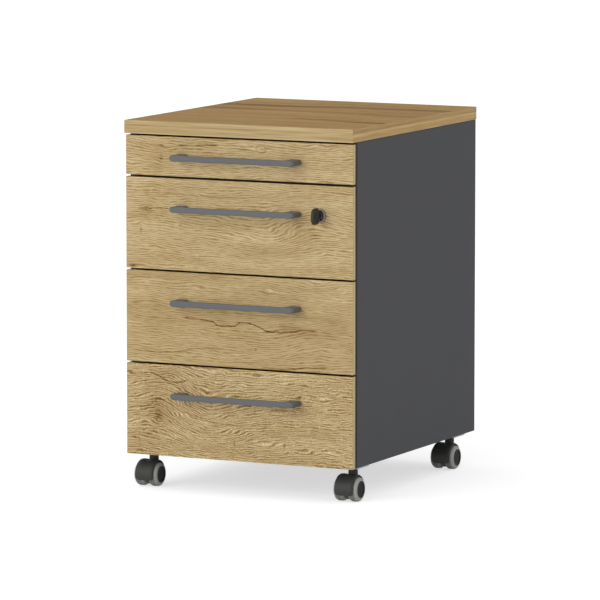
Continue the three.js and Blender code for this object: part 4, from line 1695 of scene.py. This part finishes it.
@dataclass
class Studio:
    """Floor, background, lamp and camera.

    Attributes:
        focal: the lens in millimetres, on a sensor 36 wide.
        place: the camera's place in metres.
        yaw: how far it looks to the left of straight ahead, in degrees.
        pitch: how far it looks down, in degrees.
        floor_radius: the floor's radius in metres.
        floor_level: the floor's height in metres, just under the treads.
        floor_glow: how much light the floor adds to what the camera sees of it.
        sky_light: how bright the surroundings are to the object, where the camera sees one.
        lamp_place: where the lamp hangs, in metres.
        lamp_target: what it points at, in metres.
        lamp_size: its side in metres.
        lamp_power: its power in watts.
    """

    focal: float = 310.55
    place: tuple[float, float, float] = (3.8233, -7.84075, 1.3789)
    yaw: float = 25.99
    pitch: float = 7.027
    floor_radius: float = 60.0
    floor_level: float = -0.0002
    floor_glow: float = 0.6
    sky_light: float = 0.6
    lamp_place: tuple[float, float, float] = (-2.3, -5.2, 1.7)
    lamp_target: tuple[float, float, float] = (0.0, 0.0, 0.3)
    lamp_size: float = 4.5
    lamp_power: float = 150.0

    def build(self) -> None:
        """Sets the stage."""
        self.build_camera()
        self.build_floor()
        self.build_sky()
        self.build_lamp()

    def build_camera(self) -> None:
        """Places the camera where the photograph was taken from."""
        data = bpy.data.cameras.new("camera")
        data.lens, data.sensor_width = self.focal, 36.0
        data.clip_start, data.clip_end = 0.1, 200.0
        camera = bpy.data.objects.new("camera", data)
        camera.location = self.place
        camera.rotation_euler = (math.radians(90 - self.pitch), 0.0, math.radians(self.yaw))
        bpy.context.scene.collection.objects.link(camera)
        bpy.context.scene.camera = camera

    def build_floor(self) -> None:
        """Lays a white floor that keeps soft shadows and lights the cabinet from below."""
        recipe = Recipe(bpy.data.materials.new("white_studio_floor"))
        add = recipe.add
        ray = add("LightPath")
        paint = add("BsdfDiffuse", Color=linear("#e6e6e6"))
        glow = add("Emission", Color=linear("#ffffff"), Strength=self.floor_glow)
        seen = add("Math MAXIMUM", ray.outputs["Is Camera Ray"], ray.outputs["Is Glossy Ray"])
        add("OutputMaterial", add("MixShader", seen, paint, add("AddShader", paint, glow)))
        mesh = bpy.data.meshes.new("floor")
        rim = placed(circle(64) * self.floor_radius, self.floor_level, Axis.Z)
        mesh.from_pydata(rim.tolist(), [], [list(range(len(rim)))])
        mesh.materials.append(recipe.owner)
        floor = bpy.data.objects.new("floor", mesh)
        bpy.context.scene.collection.objects.link(floor)

    def build_sky(self) -> None:
        """Surrounds the scene with even white, brighter to the camera than to the object."""
        world = bpy.data.worlds.new("studio")
        add = Recipe(world).add
        ray = add("LightPath")
        seen = add("Math MAXIMUM", ray.outputs["Is Camera Ray"], ray.outputs["Is Glossy Ray"])
        level = add("MapRange", seen, To_Min=self.sky_light, To_Max=1.0)
        add("OutputWorld", add("Background", linear("#ffffff"), level))
        bpy.context.scene.world = world

    def build_lamp(self) -> None:
        """Hangs a square soft lamp in front, to the left."""
        data = bpy.data.lights.new("front_lamp", "AREA")
        data.shape, data.size, data.energy = "SQUARE", self.lamp_size, self.lamp_power
        lamp = bpy.data.objects.new("front_lamp", data)
        lamp.location = self.lamp_place
        way = np.array(self.lamp_target) - np.array(self.lamp_place)
        tilt = math.atan2(math.hypot(way[0], way[1]), -way[2])
        lamp.rotation_euler = (tilt, 0.0, math.atan2(way[0], -way[1]) + math.pi)
        bpy.context.scene.collection.objects.link(lamp)


def main() -> None:
    """Builds the cabinet and its stage."""
    logging.basicConfig(level=logging.INFO, format="%(name)s %(message)s")
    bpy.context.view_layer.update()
    bpy.context.scene.view_settings.view_transform = "Standard"
    Carcass().build()
    for number, (figure, shy) in enumerate(zip(FIGURES, SHY_EDGES), 1):
        Drawer(number, figure, shy, LOCK_HOLE if number == LOCKED_DRAWER else 0.0).build()
    CamLock().build()
    for name in ("front_left", "front_right", "rear_left", "rear_right"):
        Castor(name).build()
    Studio().build()


if __name__ == "__main__":
    main()
